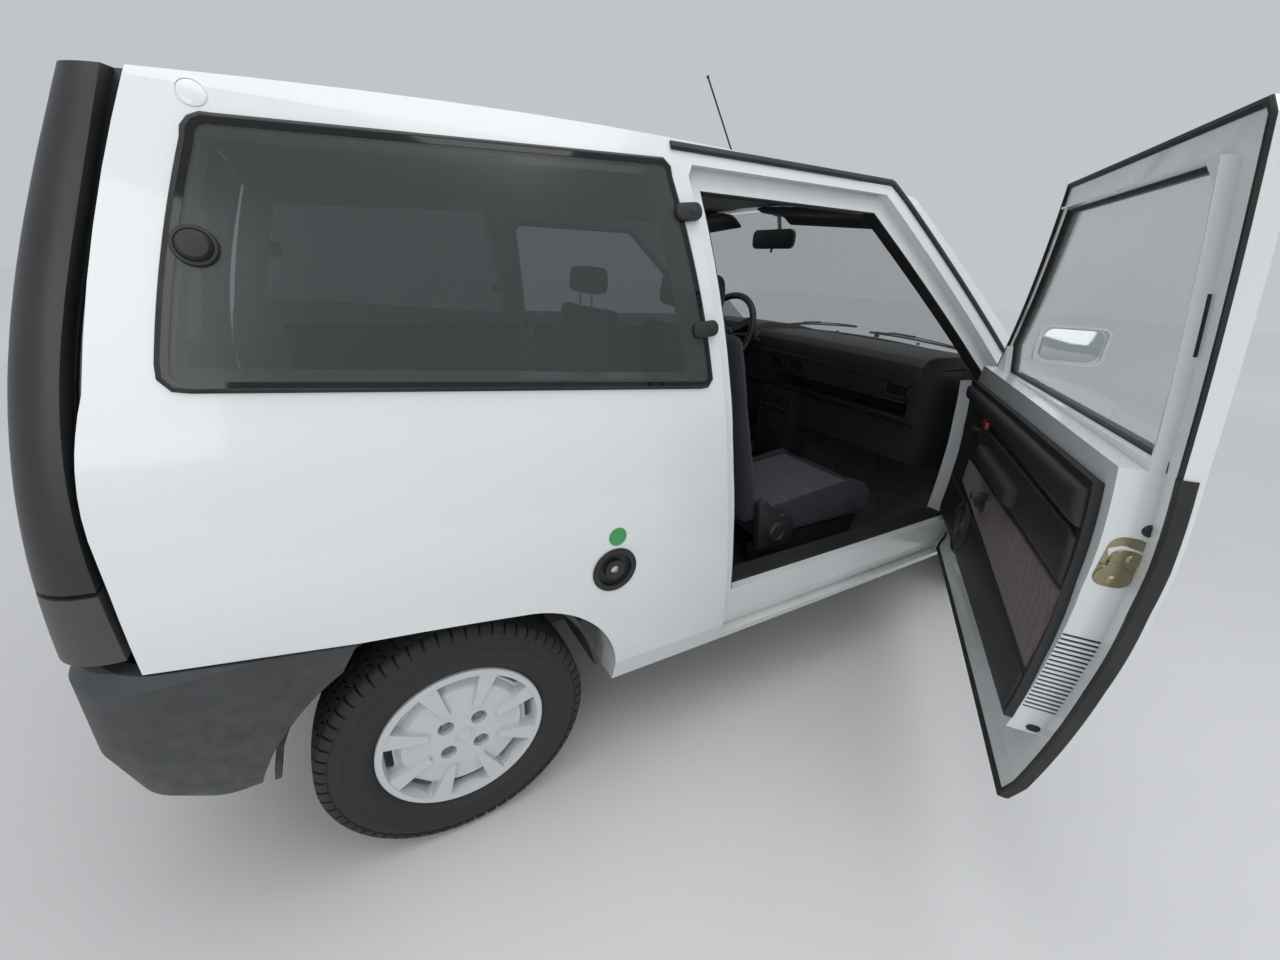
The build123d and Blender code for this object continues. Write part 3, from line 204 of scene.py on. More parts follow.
def wired(
    tree: bpy.types.NodeTree, kind: str, inputs: Optional[dict] = None, **settings
) -> bpy.types.Node:
    """Adds a node to a tree.

    Args:
        tree: The tree.
        kind: The node's type.
        inputs: Values or sockets for its inputs, by name or number.
        **settings: Its properties.

    Returns:
        The node.
    """
    made = tree.nodes.new(kind)
    for name, value in settings.items():
        setattr(made, name, value)
    for key, value in (inputs or {}).items():
        socket = made.inputs[key]
        if isinstance(value, bpy.types.NodeSocket):
            tree.links.new(value, socket)
        elif socket.type == "RGBA" and len(value) == 3:
            socket.default_value = (*value, 1)
        else:
            socket.default_value = value
    return made


class Sheet:
    """A material's node tree under construction."""

    def __init__(self, name: str) -> None:
        """Starts an empty material.

        Args:
            name: Name of the material.
        """
        self.material = bpy.data.materials.new(name)
        self.material.use_nodes = True
        self.tree = self.material.node_tree
        self.tree.nodes.clear()
        self.place = self.node("ShaderNodeTexCoord").outputs["Object"]

    def node(self, kind: str, inputs: Optional[dict] = None, **settings) -> bpy.types.Node:
        """Adds a node to the sheet."""
        return wired(self.tree, kind, inputs, **settings)

    def noise(self, scale: float, detail: float = 3, place: Value = None) -> bpy.types.NodeSocket:
        """Cloudy noise from 0 to 1.

        Args:
            scale: How fine it is.
            detail: Layers of finer noise in it.
            place: Coordinates, or the object's own.

        Returns:
            The value.
        """
        vector = self.place if place is None else place
        inputs = {"Vector": vector, "Scale": scale, "Detail": detail, "Roughness": 0.6}
        return self.node("ShaderNodeTexNoise", inputs).outputs[0]

    def cells(self, scale: float) -> bpy.types.NodeSocket:
        """Distance to the middle of the nearest grain cell."""
        inputs = {"Vector": self.place, "Scale": scale}
        return self.node("ShaderNodeTexVoronoi", inputs).outputs["Distance"]

    def maths(self, operation: str, first: Value, second: Value = 0.0) -> bpy.types.NodeSocket:
        """One sum on two values."""
        inputs = {0: first, 1: second}
        return self.node("ShaderNodeMath", inputs, operation=operation).outputs[0]

    def axis(self, name: str) -> bpy.types.NodeSocket:
        """One of the coordinates X, Y or Z."""
        return self.node("ShaderNodeSeparateXYZ", {0: self.place}).outputs[name]

    def between(
        self, value: Value, low: float, high: float, start: float = 0, end: float = 1
    ) -> bpy.types.NodeSocket:
        """A value's way from low to high, as a number from start to end.

        Args:
            value: The value.
            low: Where it starts.
            high: Where it ends.
            start: Number for low.
            end: Number for high.

        Returns:
            The number.
        """
        inputs = {"Value": value, "From Min": low, "From Max": high}
        inputs.update({"To Min": start, "To Max": end})
        return self.node("ShaderNodeMapRange", inputs).outputs[0]

    def blend(self, factor: Value, first: Value, second: Value) -> bpy.types.NodeSocket:
        """Two colours mixed.

        Args:
            factor: Share of the second.
            first: The first colour.
            second: The second.

        Returns:
            The mixed colour.
        """
        made = self.node("ShaderNodeMix", data_type="RGBA")
        for number, value in ((0, factor), (6, first), (7, second)):
            if isinstance(value, bpy.types.NodeSocket):
                self.tree.links.new(value, made.inputs[number])
            else:
                made.inputs[number].default_value = value if number == 0 else (*value, 1)
        return made.outputs[2]

    def bump(self, height: Value, distance: float, below: Value = None) -> bpy.types.NodeSocket:
        """A surface normal from a height.

        Args:
            height: The height, from 0 to 1.
            distance: What a height of 1 stands for, in metres.
            below: The normal that it goes over.

        Returns:
            The normal.
        """
        inputs = {"Height": height, "Distance": distance, "Strength": 1.0}
        if below is not None:
            inputs["Normal"] = below
        return self.node("ShaderNodeBump", inputs).outputs[0]

    def shader(self, **inputs: Value) -> bpy.types.Material:
        """Ends the tree with the surface shader.

        Args:
            **inputs: Its inputs, with an underscore for each space.

        Returns:
            The material.
        """
        named = {name.replace("_", " "): value for name, value in inputs.items()}
        surface = self.node("ShaderNodeBsdfPrincipled", named)
        self.node("ShaderNodeOutputMaterial", {"Surface": surface.outputs[0]})
        return self.material


# Finishes


@dataclass(frozen=True)
class Finish:
    """What every finish has.

    Attributes:
        name: The material's name.
        slot: The record's material slot; not used.
        colour: Its main tone.
        roughness: From mirror 0 to matt 1.
    """

    name: str
    slot: str
    colour: Colour
    roughness: float = 0.5

    def toned(self, share: float) -> Colour:
        """The main tone made darker or lighter."""
        return tuple(part * share for part in self.colour)

    def shade(self, sheet: Sheet) -> bpy.types.Material:
        """Draws the finish.

        Args:
            sheet: The empty sheet that it is drawn on.

        Returns:
            The material.
        """
        raise NotImplementedError

    def material(self) -> bpy.types.Material:
        """The material, built the first time that it is asked for."""
        found = bpy.data.materials.get(self.name)
        return found or self.shade(Sheet(self.name))

    def dress(self, *nodes: str) -> None:
        """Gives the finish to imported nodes."""
        for name in nodes:
            for slot in frame["nodes"][name].material_slots:
                slot.material = self.material()


@dataclass(frozen=True)
class Paint(Finish):
    """Gloss paint with a faint ripple and road dust low down.

    Attributes:
        coat: Weight of the clear gloss over the colour.
        dust: How much of the dust's tone shows near the floor.
        dust_top: Height in metres up to which it shows.
    """

    coat: float = 0.6
    dust: float = 0.5
    dust_top: float = 0.75

    def shade(self, sheet: Sheet) -> bpy.types.Material:
        """Draws the paint, as Finish.shade says."""
        clouds = sheet.noise(3.0, 4)
        specks = sheet.between(sheet.noise(260, 2), 0.66, 0.74)
        low = sheet.between(sheet.axis("Z"), self.dust_top, 0.2)
        dusty = sheet.maths("MULTIPLY", low, sheet.between(clouds, 0.3, 0.8, 0, self.dust))
        base = sheet.blend(clouds, self.toned(0.95), self.colour)
        base = sheet.blend(dusty, base, (0.36, 0.34, 0.31))
        base = sheet.blend(sheet.maths("MULTIPLY", specks, 0.12), base, (0.2, 0.19, 0.17))
        ripple = sheet.bump(sheet.noise(420, 1), 0.00002)
        return sheet.shader(
            Base_Color=base,
            Roughness=sheet.between(clouds, 0, 1, self.roughness * 0.8, self.roughness * 1.25),
            Coat_Weight=self.coat,
            Coat_Roughness=0.06,
            Normal=ripple,
        )


@dataclass(frozen=True)
class Moulding(Finish):
    """Grained plastic or satin paint, a little faded in clouds.

    Attributes:
        grain: Cells per metre of the moulded grain.
        depth: Height of the grain, in metres.
        fade: How far the clouds lighten the tone.
        dust: How much of the dust's tone shows near the floor.
    """

    grain: float = 900
    depth: float = 0.00006
    fade: float = 1.5
    dust: float = 0.25

    def shade(self, sheet: Sheet) -> bpy.types.Material:
        """Draws the plastic, as Finish.shade says."""
        clouds = sheet.noise(5.0, 5)
        streaks = sheet.noise(40, 3)
        base = sheet.blend(sheet.between(clouds, 0.35, 0.75), self.colour, self.toned(self.fade))
        low = sheet.between(sheet.axis("Z"), 0.65, 0.15, 0, self.dust)
        dusty = sheet.maths("MULTIPLY", low, sheet.between(streaks, 0.35, 0.7))
        base = sheet.blend(dusty, base, (0.28, 0.27, 0.25))
        rough = sheet.between(clouds, 0, 1, self.roughness * 0.88, min(1, self.roughness * 1.12))
        height = sheet.bump(sheet.cells(self.grain), self.depth)
        return sheet.shader(Base_Color=base, Roughness=rough, Normal=height)


@dataclass(frozen=True)
class Rubber(Finish):
    """Black rubber, greyed by dust in clouds.

    Attributes:
        bloom: How far the dust covers it.
    """

    bloom: float = 0.35

    def shade(self, sheet: Sheet) -> bpy.types.Material:
        """Draws the rubber, as Finish.shade says."""
        clouds = sheet.noise(14, 5)
        base = sheet.blend(
            sheet.between(clouds, 0.4, 0.8, 0, self.bloom), self.colour, (0.16, 0.155, 0.145)
        )
        fine = sheet.bump(sheet.noise(700, 2), 0.00008)
        rough = sheet.between(clouds, 0, 1, self.roughness * 0.9, min(1, self.roughness * 1.1))
        return sheet.shader(Base_Color=base, Roughness=rough, Normal=fine)


@dataclass(frozen=True)
class Metal(Finish):
    """Metal or metallic paint, with fine flakes and stains.

    Attributes:
        metallic: Share of metal in the surface.
        stain: Tone of the stains.
        stained: How far the stains cover it.
    """

    metallic: float = 1.0
    stain: Colour = (0.12, 0.07, 0.04)
    stained: float = 0.2

    def shade(self, sheet: Sheet) -> bpy.types.Material:
        """Draws the metal, as Finish.shade says."""
        clouds = sheet.noise(24, 6)
        flakes = sheet.noise(1800, 1)
        base = sheet.blend(sheet.between(flakes, 0.35, 0.65), self.toned(0.88), self.colour)
        base = sheet.blend(sheet.between(clouds, 0.5, 0.75, 0, self.stained), base, self.stain)
        rough = sheet.between(clouds, 0.3, 0.8, self.roughness * 0.8, self.roughness * 1.3)
        fine = sheet.bump(sheet.noise(500, 2), 0.00003)
        return sheet.shader(
            Base_Color=base, Metallic=self.metallic, Roughness=rough, Normal=fine
        )


@dataclass(frozen=True)
class Pane(Finish):
    """Window glass or a lamp lens.

    Attributes:
        cover: Opacity seen square on; it rises as the view grows flatter, as glass does.
        specular: Strength of its reflections.
    """

    cover: float = 0.4
    specular: float = 0.8

    def shade(self, sheet: Sheet) -> bpy.types.Material:
        """Draws the glass, as Finish.shade says."""
        smears = sheet.noise(7, 4)
        glance = sheet.node("ShaderNodeFresnel", {"IOR": 1.5}).outputs[0]
        base = sheet.blend(smears, self.colour, self.toned(1.25))
        return sheet.shader(
            Base_Color=base,
            Roughness=sheet.between(smears, 0.3, 0.8, self.roughness * 0.6, self.roughness * 1.6),
            IOR=1.5,
            Specular_IOR_Level=self.specular,
            Alpha=sheet.between(glance, 0.03, 0.8, self.cover, 1.0),
        )


@dataclass(frozen=True)
class Cloth(Finish):
    """Woven upholstery.

    Attributes:
        thread: Tone of the crossing threads.
        pitch: Threads per metre.
        depth: Height of a thread, in metres.
        sheen: Strength of the soft shine.
    """

    thread: Colour = (0.1, 0.1, 0.1)
    pitch: float = 620
    depth: float = 0.0003
    sheen: float = 0.25

    def shade(self, sheet: Sheet) -> bpy.types.Material:
        """Draws the weave from crossing threads, as Finish.shade says."""
        turn = self.pitch * math.pi
        waves = [
            sheet.maths("SINE", sheet.maths("MULTIPLY", sheet.axis(name), turn)) for name in "XYZ"
        ]
        over = sheet.maths("MULTIPLY", sheet.maths("ADD", waves[0], waves[2]), waves[1])
        clouds = sheet.noise(18, 4)
        weave = sheet.between(over, -0.8, 0.8)
        base = sheet.blend(weave, self.colour, self.thread)
        base = sheet.blend(sheet.between(clouds, 0.4, 0.8, 0, 0.3), base, self.toned(1.7))
        return sheet.shader(
            Base_Color=base,
            Roughness=sheet.between(clouds, 0, 1, 0.85, 1.0),
            Sheen_Weight=self.sheen,
            Sheen_Roughness=0.5,
            Normal=sheet.bump(over, self.depth),
        )


Finishes = Union[Finish, Sequence[Finish]]

WHITE = Paint("white_paint", "body_paint", (0.74, 0.765, 0.77), 0.25)
ROOF_WHITE = Paint("roof_white", "roof_paint", (0.74, 0.765, 0.77), 0.25, dust=0.1)
SATIN = Moulding(
    "satin_black_tail", "dark_tail", (0.016, 0.017, 0.018), 0.42, depth=0.00002, dust=0.1
)
BUMPER = Moulding("bumper_grey", "bumper_plastic", (0.034, 0.037, 0.039), 0.58)
HOUSING = Moulding(
    "lamp_housing", "bumper_plastic", (0.05, 0.052, 0.044), 0.45, depth=0.00002, fade=1.2
)
TRIM = Moulding("cabin_black", "black_plastic", (0.014, 0.0145, 0.0155), 0.55, dust=0.0)
SEAL = Rubber("seal_rubber", "black_plastic", (0.012, 0.012, 0.012), 0.6, bloom=0.15)
TYRE = Rubber("tyre_rubber", "tyre_rubber", (0.02, 0.02, 0.021), 0.78)
GRILLE = Moulding("grille_black", "grille_plastic", (0.018, 0.018, 0.019), 0.5)
UNDER = Moulding("underseal", "underbody", (0.045, 0.044, 0.042), 0.85, grain=300, depth=0.0004)
STEEL = Metal("worn_steel", "bare_metal", (0.2, 0.19, 0.18), 0.6, 0.7, stained=0.6)
ALLOY = Metal("cast_alloy", "engine_metal", (0.36, 0.36, 0.35), 0.5, 0.9, stained=0.3)
COVER = Metal(
    "cover_silver", "cover_silver", (0.62, 0.63, 0.64), 0.34, 0.55, grey(0.25, 0.02), 0.25
)
ZINC = Metal("yellow_zinc", "bare_metal", (0.36, 0.33, 0.21), 0.35, 0.95, stained=0.35)
CHROME = Metal("bright_metal", "bare_metal", (0.72, 0.72, 0.72), 0.18, 1.0, stained=0.1)
TINTED = Pane("tinted_glass", "tinted_glass", (0.01, 0.015, 0.02), 0.03, cover=0.72)
CLEAR = Pane("clear_glass", "clear_glass", (0.35, 0.42, 0.4), 0.03, cover=0.14)
HEAD_LENS = Pane("head_lens", "head_lens", (0.62, 0.66, 0.68), 0.08, cover=0.5)
TAIL_LENS = Pane("tail_lens", "lamp_lens", (0.28, 0.02, 0.015), 0.12, cover=0.9)
SEAT_CLOTH = Cloth(
    "seat_cloth", "seat_fabric", (0.008, 0.009, 0.015), thread=(0.02, 0.021, 0.032), sheen=0.08
)
SEAT_WEAVE = Cloth(
    "seat_weave", "seat_fabric", (0.014, 0.015, 0.02), thread=(0.13, 0.13, 0.15), pitch=360,
    depth=0.0006, sheen=0.1,
)
LINING = Cloth("roof_cloth", "roof_cloth", (0.2, 0.2, 0.195), thread=(0.3, 0.3, 0.29), pitch=400)
CARPET = Cloth(
    "floor_carpet", "trim_fabric", (0.012, 0.012, 0.013), thread=(0.03, 0.03, 0.03), pitch=300
)
FRIT = Pane("printed_border", "tinted_glass", (0.003, 0.003, 0.004), 0.05, 1.0, 0.5)
SILVERED = Metal("silvered_glass", "bare_metal", (0.6, 0.63, 0.64), 0.04, 1.0, stained=0.02)
NUT = Metal("nut_grey", "bare_metal", (0.24, 0.24, 0.25), 0.4, 0.8, stained=0.3)
GREEN = Paint("green_round", "body_paint", (0.045, 0.3, 0.09), 0.35, coat=0.3, dust=0.0)
REFLECTOR = Pane("red_reflector", "lamp_lens", (0.32, 0.01, 0.015), 0.14, cover=0.95)
DASH_SKIN = Moulding(
    "dash_skin", "black_plastic", (0.016, 0.0165, 0.018), 0.5, grain=520, depth=0.00012, dust=0.0
)
VINYL = Moulding(
    "visor_vinyl", "black_plastic", (0.03, 0.03, 0.032), 0.6, grain=700, depth=0.00008, dust=0.0
)
GRIP = Moulding(
    "wheel_grip", "black_plastic", (0.012, 0.012, 0.013), 0.42, grain=800, depth=0.00005, dust=0.0
)
DIAL_WHITE = Moulding("dial_white", "black_plastic", (0.6, 0.6, 0.56), 0.6, fade=1.05, dust=0.0)
PLATE = Moulding(
    "plate_white", "body_paint", (0.62, 0.63, 0.62), 0.4, depth=0.00001, fade=1.08, dust=0.15
)
FRAME_BLACK = Metal(
    "black_steel", "bare_metal", (0.02, 0.02, 0.021), 0.45, 0.3, grey(0.1, 0.02), 0.15
)
BAND_WEAVE = Cloth(
    "brown_weave", "seat_fabric", (0.045, 0.024, 0.022), thread=(0.13, 0.075, 0.068), pitch=380,
    depth=0.0006,
)


# Shapes


Row = tuple[float, ...]
Point = tuple[float, float]
Corner = tuple[float, float, float]


@dataclass(frozen=True)
class Outline:
    """A rounded line on a side view, in the car's millimetres.

    Attributes:
        rows: Points u, v. A row u, v, via_u, via_v ends an arc from the row before by way of via.
        closed: Whether the first row follows the last.
    """

    rows: Sequence[Row]
    closed: bool = True

    def points(self, step: float = 20.0, margin: float = 0.0) -> list[Point]:
        """Points along the line.

        Args:
            step: Greatest distance between two of them.
            margin: How far they lie outside the line.

        Returns:
            The points, in order.
        """
        last = self.rows[-1 if self.closed else 0][:2]
        found: list[Point] = [] if self.closed else [last]
        for u, v, *via in self.rows if self.closed else self.rows[1:]:
            found += self._run(last, (u, v), via, step)
            last = (u, v)
        return self._grown(found, margin) if margin else found

    @staticmethod
    def _run(start: Point, end: Point, via: Sequence[float], step: float) -> list[Point]:
        """Points on one straight or arc, without its start.

        Args:
            start: Its first point.
            end: Its last point.
            via: A point that an arc passes, or nothing for a straight.
            step: Greatest distance between two points.

        Returns:
            The points, in order.
        """
        if not via:
            count = max(1, math.ceil(math.dist(start, end) / step))
            shares = [(k + 1) / count for k in range(count)]
            return [tuple(a + (b - a) * s for a, b in zip(start, end)) for s in shares]
        (ax, ay), (bx, by), (cx, cy) = start, via, end
        twice = 2 * (ax * (by - cy) + bx * (cy - ay) + cx * (ay - by))
        a2, b2, c2 = ax * ax + ay * ay, bx * bx + by * by, cx * cx + cy * cy
        mid_u = (a2 * (by - cy) + b2 * (cy - ay) + c2 * (ay - by)) / twice
        mid_v = (a2 * (cx - bx) + b2 * (ax - cx) + c2 * (bx - ax)) / twice
        radius = math.dist(start, (mid_u, mid_v))
        turns = [math.atan2(y - mid_v, x - mid_u) for x, y in (start, via, end)]
        way = 1 if (turns[1] - turns[0]) % math.tau < (turns[2] - turns[0]) % math.tau else -1
        sweep = ((turns[2] - turns[0]) * way) % math.tau * way
        count = max(3, math.ceil(abs(sweep) * radius / step))
        angles = [turns[0] + sweep * (k + 1) / count for k in range(count)]
        return [(mid_u + radius * math.cos(a), mid_v + radius * math.sin(a)) for a in angles]

    def across(self, v: float, margin: float = 0.0) -> tuple[float, float]:
        """Least and greatest u at a height.

        Args:
            v: The height.
            margin: How far outside the line.

        Returns:
            The two values.
        """
        found = self.points(6.0, margin)
        ends = [
            a[0] + (b[0] - a[0]) * (v - a[1]) / (b[1] - a[1])
            for a, b in zip(found, found[1:] + found[:1])
            if min(a[1], b[1]) <= v < max(a[1], b[1])
        ]
        return min(ends), max(ends)

    def _grown(self, found: list[Point], margin: float) -> list[Point]:
        """The points moved outward, at corners along their mitre.

        Args:
            found: The points.
            margin: How far.

        Returns:
            The moved points.
        """
        area = sum(a[0] * b[1] - b[0] * a[1] for a, b in zip(found, found[1:] + found[:1]))
        sign = 1 if area > 0 else -1
        grown = []
        for k, here in enumerate(found):
            back = found[k - 1] if self.closed or k else here
            ahead = found[(k + 1) % len(found)] if self.closed or k + 1 < len(found) else here
            ways = []
            for a, b in ((back, here), (here, ahead)):
                length = math.dist(a, b)
                if length > 1e-6:
                    ways.append(((b[1] - a[1]) / length * sign, (a[0] - b[0]) / length * sign))
            u = sum(w[0] for w in ways) / len(ways)
            v = sum(w[1] for w in ways) / len(ways)
            grow = margin / max(u * u + v * v, 0.35)
            grown.append((here[0] + u * grow, here[1] + v * grow))
        return grown


class Flank:
    """The side of the body below the roof seam, and where things lie against it."""

    # Section at the middle of the car: half width and height.
    SECTION = Outline(
        ((712, 275), (738, 345), (754, 610, 750.5, 478), (748, 760, 753.4, 690),
         (722, 955, 739, 860), (628, 1340, 680.5, 1150), (590, 1440)),
        closed=False,
    )
    MIDDLE = 900.0
    PLAN_RADIUS = 58800.0

    def __init__(self) -> None:
        """Samples the section."""
        self.rows = self.SECTION.points(6.0)

    def half(self, z: float) -> float:
        """Half width at the middle of the car.

        Args:
            z: Height above the floor.

        Returns:
            The half width.
        """
        for (y0, z0), (y1, z1) in zip(self.rows, self.rows[1:]):
            if z0 <= z <= z1:
                return y0 + (y1 - y0) * (z - z0) / (z1 - z0)
        return self.rows[0][0] if z < self.rows[0][1] else self.rows[-1][0]

    def normal(self, z: float) -> Vector:
        """Outward direction of the left side at a height."""
        slope = (self.half(z + 8) - self.half(z - 8)) / 16
        return Vector((0, 1, -slope)).normalized()

    def at(self, x: float, z: float, out: float = 0.0) -> Vector:
        """A point of the left side, a distance out of the surface."""
        y = self.half(z) - (x - self.MIDDLE) ** 2 / (2 * self.PLAN_RADIUS)
        return Vector((x, y, z)) + self.normal(z) * out

    def inside(self, x: float, z: float, depth: float) -> Vector:
        """A point straight in from the left side's surface."""
        return self.at(x, z) - Vector((0, depth, 0))


flank = Flank()


def joint(name: str) -> dict:
    """A joint of the record by its name."""
    return next(row for row in frame["record"]["behaviour"]["joints"] if row["name"] == name)


def body_place(hand: Hand = Hand.LEFT) -> Matrix:
    """From the left side's millimetres to the frame, on either side."""
    flip = Matrix.Diagonal((1, hand, 1, 1))
    return Matrix.Translation(car.origin) @ Matrix.Scale(MM, 4) @ flip


def door_place(hand: Hand) -> Matrix:
    """The same for a piece on a door, which stands open on the right.

    Args:
        hand: The door's side of the car.

    Returns:
        The matrix.
    """
    hinge = joint(f"door_{hand.side}_hinge")
    turn = -hinge["range_deg"][0] if hand == Hand.RIGHT else 0.0
    pivot = Matrix.Translation(hinge["pos_m"])
    swing = Matrix.Rotation(math.radians(turn), 4, "Z")
    return pivot @ swing @ pivot.inverted() @ body_place(hand)


class Form:
    """A mesh under construction, in the car's millimetres, left side."""

    def __init__(self) -> None:
        """Starts empty."""
        self.mesh = bmesh.new()

    def surface(
        self, rings: Sequence[Sequence[Vector]], closed: bool, loop: bool = True, tone: int = 0
    ) -> "Form":
        """Joins rings of points into a skin.

        Args:
            rings: Rings of equal length.
            closed: Whether the last ring joins the first.
            loop: Whether each ring's last point joins its first.
            tone: Number of the finish.

        Returns:
            The form.
        """
        made = [[self.mesh.verts.new(p) for p in ring] for ring in rings]
        count = len(made[0])
        for k in range(len(made) if closed else len(made) - 1):
            near, after = made[k], made[(k + 1) % len(made)]
            for j in range(count if loop else count - 1):
                i = (j + 1) % count
                self.mesh.faces.new((near[j], near[i], after[i], after[j])).material_index = tone
        if not closed and loop:
            for ring in (made[0][::-1], made[-1]):
                self.mesh.faces.new(ring).material_index = tone
        return self

    def sweep(
        self,
        path: Sequence[Vector],
        section: Sequence[Point],
        out: Union[Vector, Sequence[Vector]],
        closed: bool = False,
        tone: int = 0,
    ) -> "Form":
        """Carries a section along a path.

        Args:
            path: The points.
            section: Points of the section: outward, and to the left of the path seen from outside.
            out: The outward direction, for the whole path or for each point.
            closed: Whether the path returns to its start.
            tone: Number of the finish.

        Returns:
            The form.
        """
        rings = []
        for k, here in enumerate(path):
            back = path[k - 1] if closed or k else here
            ahead = path[(k + 1) % len(path)] if closed or k + 1 < len(path) else here
            along = (ahead - back).normalized()
            outward = out if isinstance(out, Vector) else out[k]
            across = outward.cross(along).normalized()
            up = along.cross(across)
            rings.append([here + up * a + across * b for a, b in section])
        return self.surface(rings, closed, tone=tone)

    def tube(
        self, path: Sequence[Vector], radius: float, closed: bool = False, sides: int = 8,
        tone: int = 0,
    ) -> "Form":
        """Round bar along a path.

        Args:
            path: The points.
            radius: Radius of the bar.
            closed: Whether the path returns to its start.
            sides: Flats round the bar.
            tone: Number of the finish.

        Returns:
            The form.
        """
        run = (path[1] - path[0]).normalized()
        out = run.orthogonal().normalized()
        outs = []
        for k, here in enumerate(path):
            ahead = path[k + 1] if k + 1 < len(path) else here + (here - path[k - 1])
            along = (ahead - here).normalized()
            out = (out - along * out.dot(along)).normalized()
            outs.append(out)
        turns = [math.tau * k / sides for k in range(sides)]
        section = [(radius * math.cos(a), radius * math.sin(a)) for a in turns]
        return self.sweep(path, section, outs, closed, tone)

    def slab(self, face: Sequence[Vector], depth: Vector, tone: int = 0) -> "Form":
        """Flat plate from one face and its thickness."""
        return self.surface([list(face), [p + depth for p in face]], False, tone=tone)

    def skin(
        self, near: Sequence[Sequence[Vector]], far: Sequence[Sequence[Vector]], tone: int = 0
    ) -> "Form":
        """Closed panel between two grids of points of the same size."""
        rings = [[*front, *back[::-1]] for front, back in zip(near, far)]
        return self.surface(rings, False, tone=tone)

    def block(self, low: Corner, high: Corner, tone: int = 0) -> "Form":
        """Box between two corners.

        Args:
            low: The first corner.
            high: The opposite one.
            tone: Number of the finish.

        Returns:
            The form.
        """
        (x0, y0, z0), (x1, y1, z1) = low, high
        face = [Vector(p) for p in ((x0, y0, z0), (x1, y0, z0), (x1, y1, z0), (x0, y1, z0))]
        return self.slab(face, Vector((0, 0, z1 - z0)), tone)

    def stack(
        self, shape: Sequence[Point], levels: Sequence[Point],
        spot: Callable[[float, float, float], Vector], tone: int = 0,
    ) -> "Form":
        """Piles up one outline in steps, each scaled round its middle.

        Args:
            shape: The outline: across and up.
            levels: Pairs of how far out a step is, and its scale.
            spot: Gives the place of a point that is so far across, up and out.
            tone: Number of the finish.

        Returns:
            The form.
        """
        rings = [[spot(u * share, v * share, out) for u, v in shape] for out, share in levels]
        return self.surface(rings, False, tone=tone)

    def repeated(self, mesh: bpy.types.Mesh) -> "Form":
        """Adds a mesh that is already in the form's measure."""
        self.mesh.from_mesh(mesh)
        return self

    def band(
        self, line: Outline, section: Sequence[Point], level: bool = False, step: float = 16.0,
        tone: int = 0,
    ) -> "Form":
        """Carries a section along an outline on the car's side.

        Args:
            line: The outline.
            section: Points of the section: outside the outline, and out of the side's surface.
            level: Whether the second is measured straight across the car.
            step: Greatest distance between two sections.
            tone: Number of the finish.

        Returns:
            The form.
        """
        runs = [line.points(step, margin) for margin, _ in section]
        rings = []
        for spots in zip(*runs):
            ring = []
            for (u, v), (_, out) in zip(spots, section):
                ring.append(flank.inside(u, v, -out) if level else flank.at(u, v, out))
            rings.append(ring)
        return self.surface(rings, line.closed, tone=tone)

    def lathe(
        self, centre: Vector, axis: Vector, rows: Sequence[Point], steps: int = 32, tone: int = 0
    ) -> "Form":
        """Turned form.

        Args:
            centre: A point on the axis.
            axis: The axis.
            rows: Pairs of distance along the axis and radius.
            steps: Steps round the axis.
            tone: Number of the finish.

        Returns:
            The form.
        """
        axis = axis.normalized()
        first = axis.orthogonal().normalized()
        second = axis.cross(first)
        rings = []
        for k in range(steps):
            turn = math.tau * k / steps
            way = first * math.cos(turn) + second * math.sin(turn)
            rings.append([centre + axis * a + way * r for a, r in rows])
        self.surface(rings, True, rows[0][1] > 0, tone)
        bmesh.ops.remove_doubles(self.mesh, verts=self.mesh.verts, dist=0.001)
        return self

    def piece(
        self,
        name: str,
        finishes: Finishes,
        body: str = "chassis",
        place: Optional[Matrix] = None,
        bevel: float = 0.0,
        sharp: float = 35.0,
    ) -> bpy.types.Object:
        """Ends the form as a piece of the car.

        Args:
            name: The piece's name.
            finishes: One finish, or one for each tone.
            body: The body that carries it.
            place: From the form's measure to the frame; the left side's when missing.
            bevel: Width of the rounding of its edges, in millimetres.
            sharp: Greatest angle of a smooth edge, in degrees.

        Returns:
            The object.
        """
        matrix = body_place() if place is None else place
        bmesh.ops.recalc_face_normals(self.mesh, faces=self.mesh.faces)
        if bevel:
            edges = [
                e for e in self.mesh.edges
                if len(e.link_faces) == 2 and e.calc_face_angle(0) > math.radians(32)
            ]
            bmesh.ops.bevel(
                self.mesh, geom=edges, offset=bevel, segments=2, profile=0.6,
                affect="EDGES", clamp_overlap=True,
            )
        bmesh.ops.transform(self.mesh, matrix=matrix, verts=self.mesh.verts)
        if matrix.determinant() < 0:
            bmesh.ops.reverse_faces(self.mesh, faces=self.mesh.faces)
        return finished(name, self.ended(name), finishes, body, sharp)

    def ended(self, name: str) -> bpy.types.Mesh:
        """Ends the form as a plain mesh.

        Args:
            name: Name of the mesh.

        Returns:
            The mesh.
        """
        mesh = bpy.data.meshes.new(name)
        self.mesh.to_mesh(mesh)
        self.mesh.free()
        return mesh

    def on_side(self, title: str, finishes: Finishes, hand: Hand, **more) -> bpy.types.Object:
        """Ends the form as a piece of one side of the body."""
        return self.piece(f"{title}_{hand.side}", finishes, place=body_place(hand), **more)

    def on_door(self, title: str, finishes: Finishes, hand: Hand, **more) -> bpy.types.Object:
        """Ends the form as a piece of one door."""
        name, body = f"{title}_{hand.side}", f"door_{hand.side}_body"
        return self.piece(name, finishes, body, door_place(hand), **more)


